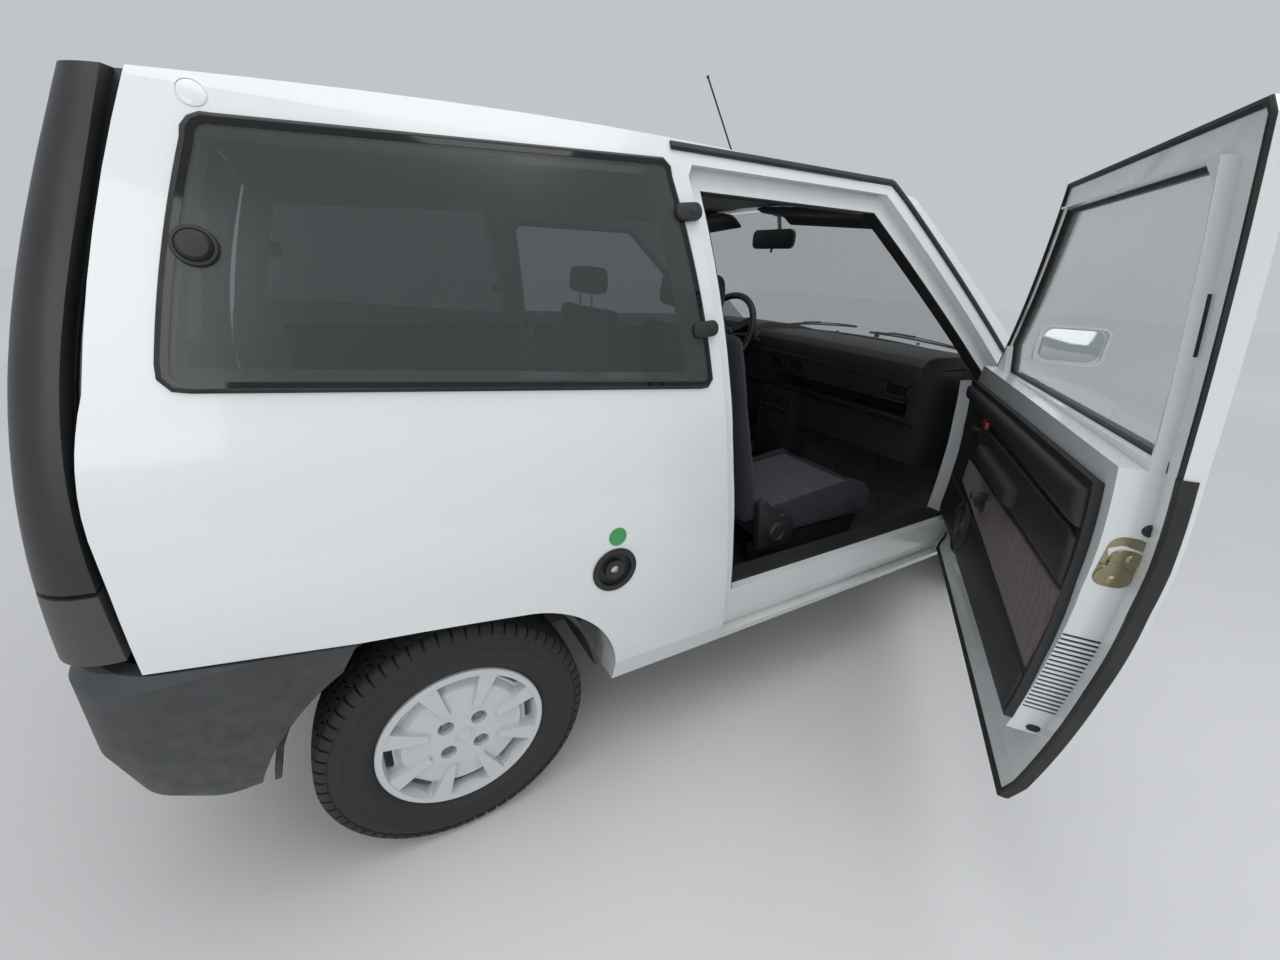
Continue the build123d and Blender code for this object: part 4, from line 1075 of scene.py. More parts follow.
def finished(
    name: str,
    mesh: bpy.types.Mesh,
    finishes: Finishes,
    body: str,
    sharp: float = 35.0,
) -> bpy.types.Object:
    """Makes a mesh that lies in the frame into a piece that rides on a body.

    Args:
        name: The piece's name.
        mesh: Its mesh.
        finishes: One finish, or one for each material number.
        body: The body that carries it.
        sharp: Greatest angle of a smooth edge, in degrees.

    Returns:
        The object.
    """
    finishes = [finishes] if isinstance(finishes, Finish) else list(finishes)
    mesh.materials.clear()
    for finish in finishes:
        mesh.materials.append(finish.material())
    mesh.shade_smooth()
    mesh.set_sharp_from_angle(angle=math.radians(sharp))
    made = linked(name, mesh)
    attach(made, body)
    return made


def rounded(width: float, height: float, corner: float, steps: int = 4) -> list[Point]:
    """Corner points of a rounded rectangle round the origin.

    Args:
        width: Its width.
        height: Its height.
        corner: Radius of its corners.
        steps: Steps in each of them.

    Returns:
        The points.
    """
    found = []
    for k, (u, v) in enumerate(((1, 1), (-1, 1), (-1, -1), (1, -1))):
        for j in range(steps + 1):
            turn = math.pi / 2 * (k + j / steps)
            found.append((
                u * (width / 2 - corner) + corner * math.cos(turn),
                v * (height / 2 - corner) + corner * math.sin(turn),
            ))
    return found


# Repeats with Geometry Nodes


class Repeat:
    """A node group that repeats a small mesh in a row or round a ring."""

    def __init__(self, name: str) -> None:
        """Starts the group with its named inputs.

        Args:
            name: Name of the group.
        """
        self.tree = bpy.data.node_groups.new(name, "GeometryNodeTree")
        for title, kind in (
            ("Unit", "Geometry"), ("Count", "Int"), ("Start", "Vector"), ("Step", "Vector"),
            ("Turn", "Vector"), ("Finish", "Material"), ("Pieces", "Geometry"),
        ):
            way = "OUTPUT" if title == "Pieces" else "INPUT"
            self.tree.interface.new_socket(
                name=title, in_out=way, socket_type=f"NodeSocket{kind}"
            )
        self._build()

    def _build(self) -> None:
        """Lays a line of points, and at each the unit turned by its number times the turn."""
        tree = self.tree
        given = wired(tree, "NodeGroupInput").outputs
        line = wired(
            tree, "GeometryNodeMeshLine",
            {"Count": given["Count"], "Start Location": given["Start"], "Offset": given["Step"]},
        )
        number = wired(tree, "GeometryNodeInputIndex").outputs[0]
        turn = wired(
            tree, "ShaderNodeVectorMath", {0: given["Turn"], "Scale": number}, operation="SCALE"
        )
        placed = wired(
            tree, "GeometryNodeInstanceOnPoints",
            {"Points": line.outputs[0], "Instance": given["Unit"], "Rotation": turn.outputs[0]},
        )
        real = wired(tree, "GeometryNodeRealizeInstances", {0: placed.outputs[0]})
        dressed = wired(
            tree, "GeometryNodeSetMaterial",
            {"Geometry": real.outputs[0], "Material": given["Finish"]},
        )
        wired(tree, "NodeGroupOutput", {"Pieces": dressed.outputs[0]})

    def run(
        self, unit: Form, finish: Finish, count: int, start: Vector = Vector(),
        step: Vector = Vector(), turn: Vector = Vector(),
    ) -> bpy.types.Mesh:
        """The repeated mesh, in the unit's measure.

        Args:
            unit: What is repeated; its form is used up.
            finish: What it is made of.
            count: How many there are.
            start: Where the first one goes.
            step: From each one to the next.
            turn: How far each is turned more than the last, in radians.

        Returns:
            The mesh.
        """
        bmesh.ops.recalc_face_normals(unit.mesh, faces=unit.mesh.faces)
        holder = linked("unit", unit.ended("unit"))
        modifier = holder.modifiers.new("repeat", "NODES")
        modifier.node_group = self.tree
        values = {"Count": count, "Start": start, "Step": step, "Turn": turn}
        values["Finish"] = finish.material()
        for socket in self.tree.interface.items_tree:
            if socket.in_out == "INPUT" and socket.name in values:
                modifier[socket.identifier] = values[socket.name]
        made = shaped(holder)
        bpy.data.objects.remove(holder)
        return made


# Studio


@dataclass
class Studio:
    """The floor, the soft light and the camera at the photograph's place.

    Attributes:
        eye: The camera's place in the car's millimetres.
        azimuth: Its heading, from square on to the side towards the front, in degrees.
        dip: How far it looks down, in degrees.
        roll: Its roll, in degrees.
        lens: Focal length for a 36 mm wide picture.
    """

    eye: tuple[float, float, float] = (-104.6, -1518.9, 1166.9)
    azimuth: float = 31.09
    dip: float = 22.66
    roll: float = 3.02
    lens: float = 508.3 / 1280 * 36

    def camera(self) -> None:
        """Places the camera."""
        data = bpy.data.cameras.new("camera")
        data.lens, data.sensor_width, data.clip_start = self.lens, 36, 0.02
        turn, dip = math.radians(self.azimuth), math.radians(self.dip)
        ahead = Vector(
            (math.sin(turn) * math.cos(dip), math.cos(turn) * math.cos(dip), -math.sin(dip))
        )
        right = ahead.cross(UP).normalized()
        basis = Matrix((right, right.cross(ahead), -ahead)).transposed().to_4x4()
        roll = Matrix.Rotation(math.radians(self.roll), 4, "Z")
        eye = linked("camera", data)
        eye.matrix_world = Matrix.Translation(car.at(*self.eye)) @ basis @ roll
        bpy.context.scene.camera = eye

    def floor(self) -> None:
        """Lays the pale floor, painted lighter with distance as painted light against the lamps'
        falloff.
        """
        sheet = Sheet("pale_floor")
        mottle = sheet.noise(3, 5)
        length = sheet.node("ShaderNodeVectorMath", {0: sheet.place}, operation="LENGTH")
        # Painted light: the floor grows lighter from 2.5 m to 9 m out, where the lamps' light falls
        # off.
        far = sheet.between(length.outputs["Value"], 2.5, 9.0)
        sheet.shader(
            Base_Color=sheet.blend(far, sheet.blend(mottle, grey(0.6), grey(0.64)), grey(0.95)),
            Roughness=0.9,
            Normal=sheet.bump(sheet.noise(220, 2), 0.0001),
        )
        mesh, reach = bpy.data.meshes.new("floor"), 30.0
        corners = [(-reach, -reach, 0), (reach, -reach, 0), (reach, reach, 0), (-reach, reach, 0)]
        mesh.from_pydata(corners, [], [(0, 1, 2, 3)])
        mesh.materials.append(sheet.material)
        linked("floor", mesh)

    def lamp(self, name: str, place: Vector, aim: Vector, size: float, power: float) -> None:
        """Hangs one soft area lamp.

        Args:
            name: The lamp's name.
            place: Where it hangs.
            aim: What it points at.
            size: The side of its square.
            power: Its power in watts.
        """
        data = bpy.data.lights.new(name, "AREA")
        data.size, data.energy = size, power
        turn = (place - aim).to_track_quat("Z", "Y").to_matrix().to_4x4()
        linked(name, data).matrix_world = Matrix.Translation(place) @ turn

    def light(self) -> None:
        """Sets the sky and the lamps."""
        world = bpy.data.worlds.new("pale_sky")
        world.use_nodes = True
        back = world.node_tree.nodes["Background"]
        back.inputs["Color"].default_value = (0.86, 0.9, 0.95, 1)
        back.inputs["Strength"].default_value = 0.62
        bpy.context.scene.world = world
        self.lamp("overhead", Vector((-0.5, -1.0, 5.0)), Vector((0, 0, 0.5)), 5.0, 150)
        self.lamp("fill", Vector((-3.5, -4.5, 2.6)), Vector((-0.3, 0, 0.7)), 3.0, 60)

    def build(self) -> None:
        """Sets up the whole studio."""
        self.camera()
        self.floor()
        self.light()
        bpy.context.scene.view_settings.view_transform = "Standard"


class Wardrobe:
    """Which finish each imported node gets."""

    FINISHES = (
        (WHITE, "bonnet cowl_panel front_frame wing_* side_frame_* door_left door_right mirror_*"),
        (ROOF_WHITE, "roof_panel"),
        (SATIN, "tailgate"),
        (BUMPER, "bumper_*"),
        (HOUSING, "tail_lamps"),
        (GRILLE, "grille"),
        (HEAD_LENS, "headlamps"),
        (TAIL_LENS, "tail_lenses"),
        (TINTED, "quarter_glass tailgate_glass"),
        (CLEAR, "windscreen door_glass_*"),
        (TRIM, "steering_column filler_cap aerial rear_trims hand_controls wheel_liners"),
        (TRIM, "door_trim_* door_handle_*"),
        (DASH_SKIN, "dashboard"),
        (GRIP, "steering_wheel"),
        (SEAT_CLOTH, "seat_* rear_bench"),
        (LINING, "headlining"),
        (UNDER, "floor_pan fuel_tank"),
        (ALLOY, "engine_block"),
        (STEEL, "exhaust rear_axle front_suspension pedals knuckle_*"),
        (COVER, "wheel_front_* wheel_rear_*"),
        (TYRE, "tyre_*"),
    )

    def build(self) -> None:
        """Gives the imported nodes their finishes."""
        for finish, patterns in self.FINISHES:
            for pattern in patterns.split():
                finish.dress(*matching(frame["nodes"], pattern))


# Sub-assemblies


@dataclass
class Tyres:
    """Treaded tyres on the four wheels, and the nuts in their covers.

    Attributes:
        pitches: Pitches of the tread round the tyre.
        top: Radius of the tread's middle, in millimetres.
        flat: Distance from the middle plane at which the tread's shoulder starts.
        deep: Depth of the tread.
        nuts: Number of wheel nuts.
        ring: Radius of the circle that they lie on.
        seat: Distance of their foot from the wheel's middle plane.
    """

    pitches: int = 64
    top: float = 265.0
    flat: float = 54.0
    deep: float = 6.5
    nuts: int = 4
    ring: float = 46.0
    seat: float = 41.5

    # Outer half of the section: radius and distance from the tyre's middle plane.
    WALL = (
        (166, 57.0), (171, 60.5), (178, 66.5), (184, 68.6), (186, 70.0), (190, 70.3),
        (192, 69.3), (206, 70.6), (215, 70.4), (216, 71.2), (219, 71.2), (220, 69.9),
        (233, 67.8), (243, 64.6), (250, 60.5), (255.2, 53), (258, 40), (259.6, 18), (260, 0),
    )
    # Tread blocks: from and to across the tread, share of a pitch, lean, and start in the pitch.
    BLOCKS = (
        (43, 66.5, 0.8, 0.0, 0.0), (24, 39.5, 0.86, 0.35, 0.3), (3, 20.5, 0.9, 0.3, 0.1),
        (-20.5, -3, 0.9, -0.3, 0.6), (-39.5, -24, 0.86, -0.35, 0.8), (-66.5, -43, 0.8, 0.0, 0.5),
    )
    NUT_HEAD = ((0, 0), (0, 10.5), (6, 10.5), (7.5, 8.5), (7.5, 0))

    def crown(self, across: float) -> float:
        """Radius of the tread's top at a distance from the middle plane.

        Args:
            across: The distance.

        Returns:
            The radius.
        """
        across = abs(across)
        top = self.top - 3.4 * (across / self.flat) ** 2
        return top if across <= self.flat else top - 0.075 * (across - self.flat) ** 2

    def unit(self) -> Form:
        """One pitch of the tread, at the top of the tyre, in millimetres.

        Returns:
            The form.
        """
        form = Form()
        pitch = math.tau / self.pitches
        over = [(j / 4, 0.0) for j in range(5)]
        for low, high, share, lean, start in self.BLOCKS:
            rings = []
            for k in range(4):
                turn = pitch * (start + share * k / 3)
                ring = []
                for part, down in over + [(part, self.deep) for part, _ in over[::-1]]:
                    y = low + (high - low) * part
                    r, a = self.crown(y) - down, turn + pitch * lean * (part - 0.5)
                    ring.append(Vector((r * math.sin(a), y, r * math.cos(a))))
                rings.append(ring)
            form.surface(rings, False)
        return form

    def carcass(self) -> Form:
        """The tyre without its tread blocks.

        Returns:
            The form.
        """
        rows = [(across, radius) for radius, across in self.WALL]
        rows += [(-across, radius) for across, radius in rows[-2::-1]]
        return Form().lathe(Vector(), ACROSS, rows, 96)

    def nut(self) -> Form:
        """One wheel nut, at the front upper place."""
        reach = self.ring * math.cos(math.pi / 4)
        return Form().lathe(Vector((reach, self.seat, reach)), ACROSS, self.NUT_HEAD, 6)

    def build(self) -> None:
        """Makes the four tyres and their wheel nuts."""
        treads, heads = Repeat("tread_ring"), Repeat("nut_ring")
        for end in ("front", "rear"):
            for hand in Hand:
                body, node = f"wheel_{end}_{hand.side}_body", f"tyre_{end}_{hand.side}"
                place = Matrix.Translation(car.middle(node)) @ Matrix.Scale(MM, 4)
                place = place @ Matrix.Diagonal((1, hand, 1, 1))
                turn = ACROSS * (math.tau / self.pitches)
                tread = treads.run(self.unit(), TYRE, self.pitches, turn=turn)
                form = self.carcass().repeated(tread)
                tyre = form.piece(f"{node}_tread", TYRE, body, place, sharp=30)
                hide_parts(node)
                turn = ACROSS * (math.tau / self.nuts)
                mesh = heads.run(self.nut(), NUT, self.nuts, turn=turn)
                Form().repeated(mesh).piece(f"nuts_{end}_{hand.side}", NUT, body, place)


@dataclass(frozen=True)
class Lines:
    """The outlines on the side of the car, which the trim follows."""

    door: Outline = Outline(
        ((640, 300), (572, 831, 601, 590), (500, 1325, 546, 1085), (510, 1345), (1072, 1353),
         (1640, 932), (1665, 885), (1667, 322), (1645, 300))
    )
    door_low: Outline = Outline(
        ((1665, 880), (1667, 322), (1645, 300), (640, 300), (572, 831, 601, 590),
         (561.7, 960, 567.6, 896)),
        closed=False,
    )
    window: Outline = Outline(
        ((612, 968), (562, 1275, 588, 1120), (582, 1298), (1072, 1304), (1440, 1030), (1447, 955))
    )
    quarter: Outline = Outline(
        ((-270, 1000), (-293, 1030, -290, 1007), (-222, 1280, -262, 1155),
         (-190, 1307, -214, 1300), (430, 1342), (458, 1318, 454, 1337), (527, 985, 500, 1150),
         (505, 957, 525, 963))
    )
    drip: Outline = Outline(
        ((466, 1371), (1080, 1380), (1112, 1370, 1100, 1378), (1652, 978)), closed=False
    )


lines = Lines()


@dataclass
class Glazing:
    """Rim, hinge pads and knob of a fixed side window, and the roof plug over it.

    Attributes:
        hand: Its side of the car.
        frit: Width of the black border printed on the glass, in millimetres.
        gasket: Width of the rubber round it.
        proud: How far the outer face of the glass stands out of the panel.
        pad: Width, height and corner of a hinge pad.
        lean: Turn of the pads, in radians.
    """

    hand: Hand
    frit: float = 9.0
    gasket: float = 5.0
    proud: float = 5.5
    pad: Corner = (57.0, 29.0, 13.0)
    lean: float = 0.12

    PADS = ((487, 1262), (513, 1062))
    PAD_STEPS = ((-0.4, 1.0), (7, 1.0), (10, 0.93), (11, 0.72))
    SCREW = ((0, 0), (0, 6.5), (1.6, 6.2), (2.4, 4), (2.4, 0))
    KNOB_PLACE, PLUG_PLACE = (-233, 1163), (-207, 1331.5)
    KNOB = (
        (-0.4, 0), (-0.4, 24), (3, 24), (5.5, 22.5), (6, 19.5), (5, 18.5), (9, 17.2), (12, 14.5),
        (13, 9), (13.2, 0),
    )
    PLUG_RING = ((-0.5, 14.2), (-0.5, 15.6), (1.2, 15.4), (1.5, 14.8), (1.2, 14.2))
    PLUG_DISC = ((-0.5, 0), (-0.5, 13.9), (0.8, 13.8), (1.1, 12.8), (1.1, 0))

    def rims(self) -> None:
        """The printed border and the rubber."""
        face, wide = self.proud, self.gasket
        Form().band(
            lines.quarter,
            ((-self.frit, face + 0.1), (-1.0, face + 0.1), (-1.0, face + 0.5),
             (-self.frit, face + 0.5)),
        ).on_side("window_border", FRIT, self.hand)
        Form().band(
            lines.quarter,
            ((-1.2, 0.2), (wide, 0.2), (wide, 2.2), (wide * 0.6, 4.6), (0.4, face + 1.0),
             (-1.2, face + 0.9)),
        ).on_side("window_gasket", SEAL, self.hand)

    def fittings(self) -> None:
        """The two hinge pads, the catch knob and the roof plug."""
        pads = Form()
        cos, sin = math.cos(self.lean), math.sin(self.lean)
        for x, z in self.PADS:
            pads.stack(
                rounded(*self.pad), self.PAD_STEPS,
                lambda u, v, out: flank.at(
                    x + u * cos - v * sin, z + v * cos + u * sin, self.proud + out
                ),
            )
            pads.lathe(flank.at(x + 9, z, self.proud + 10.5), flank.normal(z), self.SCREW, 16)
        x, z = self.KNOB_PLACE
        pads.lathe(flank.at(x, z, self.proud), flank.normal(z), self.KNOB, 36)
        pads.on_side("window_pads", TRIM, self.hand, sharp=28)
        plug = Form()
        x, z = self.PLUG_PLACE
        for rows in (self.PLUG_RING, self.PLUG_DISC):
            plug.lathe(flank.at(x, z), flank.normal(z), rows, 32)
        plug.on_side("roof_plug", ROOF_WHITE, self.hand)

    def build(self) -> None:
        """Makes one side."""
        self.rims()
        self.fittings()


@dataclass
class SideTrim:
    """Drip moulding, door aperture seal and sill tread of a side, and the filler's fittings.

    Attributes:
        hand: Its side of the car.
        drip_wide: Width of the drip moulding, in millimetres.
        drip_proud: Its height.
        sill_top: Height of the sill's tread.
        sill_ribs: Ribs along it.
    """

    hand: Hand
    drip_wide: float = 13.0
    drip_proud: float = 7.0
    sill_top: float = 430.2
    sill_ribs: int = 6

    # The seal's section, outside the door's outline and out of the skin.
    SEAL_SECTION = (
        (-38.3, -27.5), (-40.8, -28), (-41.2, -32), (-40.6, -38), (-40.4, -64), (-38.3, -66)
    )
    TREAD_ENDS = (676, 1628)
    # Turned forms are pairs of height and radius.
    FILLER, ROUND = (310, 606), (315, 679)
    FILLER_RING = ((0, 44.5), (0, 48.5), (1.6, 48.2), (2.2, 46.8), (1.6, 44.5))
    LOCK = ((-1.0, 0), (-1.0, 13.5), (1.5, 13.2), (2.4, 12), (2.4, 8.5), (1.2, 8.0), (1.2, 0))
    DISC = ((0, 0), (0, 19.5), (0.35, 19.2), (0.35, 0))

    def drip(self) -> None:
        """The black moulding over the door and down the front pillar."""
        half, high = self.drip_wide / 2, self.drip_proud
        Form().band(
            lines.drip,
            ((-half, -1), (-half, high * 0.7), (-half * 0.6, high), (half * 0.3, high),
             (half * 0.8, high * 0.75), (half, high * 0.2), (half, -1)),
        ).on_side("drip_moulding", SEAL, self.hand)

    def seal(self) -> None:
        """The soft seal round the door aperture."""
        form = Form().band(lines.door, self.SEAL_SECTION, level=True)
        form.on_side("aperture_seal", SEAL, self.hand)

    def tread(self) -> None:
        """The ribbed strip on the sill."""
        depths = [(-110, 0), (-110, 3.0)]
        for k in range(self.sill_ribs):
            inner = -106 + k * 9.4
            depths += [(inner, 3.0), (inner + 1.2, 4.8), (inner + 4.6, 4.8), (inner + 5.8, 3.0)]
        depths += [(-52, 3.0), (-50.5, 1.8), (-50, 0)]
        start, end = self.TREAD_ENDS
        rings = [
            [flank.inside(start + (end - start) * k / 24, 430, -depth)
             + UP * (self.sill_top - 430 + up) for depth, up in depths]
            for k in range(25)
        ]
        Form().surface(rings, False).on_side("sill_tread", TRIM, self.hand, sharp=25)

    def filler(self) -> None:
        """The lock in the filler cap and the plain green round above it."""
        x, z = self.FILLER
        ring = Form().lathe(flank.at(x, z, 1.6), flank.normal(z), self.FILLER_RING, 40)
        ring.piece("filler_ring", SEAL, place=body_place(self.hand))
        face = -(Skin(("filler_cap",)).side(x, z, self.hand)[0].y - car.origin.y) / MM
        lock = Form().lathe(Vector((x, face, z)), ACROSS, self.LOCK, 28)
        # The dark bar on the lock is painted shade for its keyhole.
        lock.block((x - 1, face + 0.9, z - 5), (x + 1, face + 1.6, z + 5), 1)
        lock.piece("filler_lock", (CHROME, GRILLE), place=body_place(self.hand))
        x, z = self.ROUND
        disc = Form().lathe(flank.at(x, z, 0.05), flank.normal(z), self.DISC, 40)
        disc.piece("green_round", GREEN, place=body_place(self.hand))

    def build(self) -> None:
        """Makes one side, and on the right the filler."""
        self.drip()
        self.seal()
        self.tread()
        if self.hand == Hand.RIGHT:
            self.filler()


@dataclass
class DoorDetail:
    """What a door carries: catch, louvres, seals, lining and mirror glass.

    Attributes:
        hand: Its side of the car.
        edge: How far inside the door's outline its boxed rear face lies.
        slots: Number of drain slots in that face.
        slot_low: Height of the lowest slot.
        slot_high: Height of the highest.
        lining: Depth of the lining's inner face from the skin.
    """

    hand: Hand
    edge: float = 46.0
    slots: int = 19
    slot_low: float = 505.0
    slot_high: float = 672.0
    lining: float = 84.0

    # Plates of the catch: width, height, corner and its steps; place across and height of the
    # middle; how far the back and the front stand out of the rear face; tone.
    # Tone 1 is painted shade: the flat dark back plate stands for the pressed hollow, the thin dark
    # bar for the catch's slot.
    CATCH = (
        (46, 84, 18, 6, 703, 815, 0.05, 0.5, 1),
        (43, 32, 14, 6, 703, 790, 0.5, 2.4, 0),
        (36, 28, 13, 6, 706, 823, 0.5, 2.8, 0),
        (30, 6, 2.6, 3, 697, 807, 0.5, 3.4, 1),
        (13, 5, 2, 3, 695, 813, 2.6, 4.2, 0),
    )
    PLUG = (21, 15, 7.4, 6, 714, 458, 0.05, 1.6, 0)
    SCREW = ((0, 0), (0, 7.5), (1.0, 7.2), (2.0, 5.2), (2.2, 2.4), (1.2, 1.8), (1.2, 0))
    BUFFER = ((0, 0), (0, 9.5), (2.2, 9), (4.0, 7), (4.4, 4), (3.4, 3), (3.4, 0))
    # The seals: outline followed, and the section outside it and out of the skin.
    SEALS = (
        (lines.door, ((-6.5, -20.6), (-14, -20.6), (-14.5, -23), (-11, -25.6), (-7.5, -25),
                      (-6, -22.5))),
        (lines.door_low, ((-6.1, -5), (-4, -6.5), (-3.4, -12), (-3.6, -23), (-6.4, -26),
                          (-11, -26.2), (-11, -25.4), (-6.1, -20))),
        (lines.window, ((1.0, -5), (-2.2, -5.5), (-4.6, -9.6), (-4.6, -18), (-2.2, -23),
                        (1.0, -25))),
    )
    # Raised panels of the lining: outline, back and face over the lining, and rounding.
    BAND = (((662, 577), (650, 737), (1440, 700), (1452, 628)), -1, 3.5, 4)
    MOULDINGS = (
        (((650, 846), (650, 906), (1600, 886), (1608, 846)), -1, 16, 14),
        (((654, 748), (652, 826), (700, 834, 668, 834), (1340, 826), (1372, 796, 1366, 820),
          (1352, 728)), -1, 9, 8),
        (((668, 478), (662, 560), (1180, 604), (1590, 600), (1602, 486), (1580, 476)), -1, 6, 6),
        (((930, 756), (930, 800), (1250, 796), (1250, 752)), 8, 34, 16),
    )
    LAMP = (((1262, 834), (1262, 850), (1302, 850), (1302, 834)), 10, 19, 3)
    SPEAKER_RIM = ((0, 66), (0, 74), (4, 74), (7, 71), (7.6, 67), (5, 64), (2.5, 66))
    SPEAKER_FACE = ((0, 0), (0, 66), (1.5, 66), (1.5, 0))
    WINDER_HUB = ((0, 0), (0, 26), (5, 25), (9, 17), (17, 13), (20, 0))
    WINDER_KNOB = ((-7, 0), (-7, 9), (6, 10), (22, 12), (27, 9), (28, 0))
    WINDER_ARM = ((0, -16, 0), (-40, -21, 22), (-84, -24, 44))
    RELEASE_BOWL = ((0, 1), (5, 1), (7, 0.95), (7, 0.84), (3, 0.78))
    RELEASE_LEVER = ((-34, -5, 4), (-20, -14, 2), (14, -16, 0), (34, -12, -2))

    def rear(self, z: float, out: float = 0.0) -> float:
        """Place along the car of the boxed rear face at a height."""
        return lines.door.across(z, -self.edge)[0] - out

    def on_rear(self, y: float, z: float, out: float = 0.0) -> Vector:
        """A point on the boxed rear face."""
        return Vector((self.rear(z, out), y, z))

    def rear_plate(self, form: Form, row: Sequence[float]) -> None:
        """Lays a plate on the boxed rear face.

        Args:
            form: The form that gets it.
            row: Its measures, in the columns of the catch's plates.
        """
        *shape, y, z, low, high, tone = row
        form.stack(
            rounded(*shape), ((low, 1.0), (high * 0.6 + low * 0.4, 1.0), (high, 0.96)),
            lambda u, v, out: self.on_rear(y + u, z + v, out), tone,
        )

    def catch(self) -> None:
        """The catch on a dark plate of painted shade that stands for its pressed hollow, its
        screws, and the rubber buffer.
        """
        form = Form()
        for row in self.CATCH:
            self.rear_plate(form, row)
        for y, z in ((712, 825), (703, 786)):
            form.lathe(self.on_rear(y, z, 2.2), BACKWARD, self.SCREW, 20)
        form.on_door("door_catch", (ZINC, GRILLE), self.hand, sharp=30)
        buffer = Form().lathe(self.on_rear(716, 872), BACKWARD, self.BUFFER, 24)
        self.rear_plate(buffer, self.PLUG)
        buffer.on_door("door_buffer", SEAL, self.hand)

    def louvres(self) -> None:
        """The row of pressed slots low in the rear face: dark strips of painted shade in the gaps
        between white ribs.
        """
        low, high = self.slot_low, self.slot_high
        step = (high - low) / (self.slots - 1)
        lean = (self.rear(high) - self.rear(low)) / (high - low)
        row = Repeat("louvre_row")
        # The slots are thin black strips of painted shade, standing for the shadow inside each
        # pressed opening.
        for title, wide, tall, proud, finish, shift, count in (
            ("slots", 50, 3.4, 0.35, GRILLE, 0.0, self.slots),
            ("ribs", 51, 4.4, 2.2, WHITE, step / 2, self.slots - 1),
        ):
            unit = Form().stack(
                rounded(wide, tall, min(1.6, tall / 2.2), 3),
                ((-0.2, 1.0), (proud * 0.7, 0.99), (proud, 0.93)),
                lambda u, v, out: Vector((-out, u, v + out * 0.25)),
            )
            start = Vector((self.rear(low) + lean * shift, 708.5, low + shift))
            mesh = row.run(unit, finish, count, start, Vector((lean * step, 0, step)))
            Form().repeated(mesh).on_door(f"door_{title}", finish, self.hand)

    def seals(self) -> None:
        """The rubber round the door's edge and the strips round its window."""
        form = Form()
        for line, section in self.SEALS:
            form.band(line, section, level=True)
        form.on_door("door_seals", SEAL, self.hand)
        belt = Form()
        for out, wide in ((1.5, 9.0), (-20.0, 12.0)):
            section = ((-1.5, -wide), (2.5, -wide), (3.0, -1), (1.5, 3), (-1.5, 3))
            rings = []
            for k in range(25):
                x = 606 + (1452 - 606) * k / 24
                z = 968 + (955 - 968) * (x - 612) / (1447 - 612)
                rings.append([flank.inside(x, z + up, -(out + a)) for a, up in section])
            belt.surface(rings, False)
        belt.on_door("door_belt", SEAL, self.hand, sharp=30)

    def panel(self, form: Form, rows: Sequence[Row], low: float, high: float, soft: float) -> Form:
        """Adds a raised panel on the lining.

        Args:
            form: The form that gets it.
            rows: Its outline on the side view.
            low: How far its back stands over the lining.
            high: How far its face does.
            soft: Width of its rounded rim.

        Returns:
            The form.
        """
        shape, low, high = Outline(rows), low + self.lining, high + self.lining
        return form.surface([
            [flank.inside(u, v, depth) for u, v in shape.points(24.0, margin)]
            for depth, margin in ((low, 0.0), (high - soft * 0.8, 0.0),
                                  (high - soft * 0.25, -soft * 0.3), (high, -soft))
        ], False)

    def lining_pieces(self) -> None:
        """The woven band, the pocket with the pull, the speaker and the reflector."""
        self.panel(Form(), *self.BAND).on_door("door_band", BAND_WEAVE, self.hand, sharp=60)
        trim = Form()
        for row in self.MOULDINGS:
            self.panel(trim, *row)
        trim.on_door("door_mouldings", TRIM, self.hand, sharp=50)
        spot = flank.inside(1294, 545, self.lining + 5.4)
        rings = Form().lathe(spot, INWARD, self.SPEAKER_RIM, 40)
        for radius in range(12, 67, 11):
            rows = ((1.5, radius - 2.2), (1.5, radius + 2.2), (4.6, radius + 1.4),
                    (4.6, radius - 1.4))
            rings.lathe(spot, INWARD, rows, 40)
        rings.lathe(spot, INWARD, self.SPEAKER_FACE, 40, 1)
        rings.on_door("door_speaker", (GRILLE, SEAL), self.hand, sharp=30)
        self.panel(Form(), *self.LAMP).on_door("door_reflector", REFLECTOR, self.hand)

    def winder(self) -> None:
        """The window winder, and the release in its bowl."""
        hub = flank.inside(1180, 668, self.lining + 3.4)
        form = Form().lathe(hub, INWARD, self.WINDER_HUB, 28)
        arm = [hub + Vector(step) for step in self.WINDER_ARM]
        form.tube(arm, 6.5, sides=10).lathe(arm[-1], INWARD, self.WINDER_KNOB, 20)
        lever = flank.inside(1392, 800, self.lining - 1)
        form.stack(
            rounded(112, 46, 12, 5), self.RELEASE_BOWL,
            lambda u, v, out: lever + Vector((u, -out, v)),
        )
        form.tube([lever + Vector(step) for step in self.RELEASE_LEVER], 6.0, sides=10)
        form.on_door("door_winder", TRIM, self.hand, sharp=40)

    def mirror(self) -> None:
        """The silvered glass in the mirror's rear hollow."""
        form = Form().stack(
            rounded(132, 80, 26, 8), ((0, 1.0), (1.6, 1.0), (2.2, 0.97)),
            lambda u, v, out: Vector((1471.2 - out, 812 + u, 1034 + v)),
        )
        form.on_door("mirror_glass", SILVERED, self.hand)

    def build(self) -> None:
        """Makes one door."""
        for step in (self.catch, self.louvres, self.seals, self.lining_pieces, self.winder,
                     self.mirror):
            step()


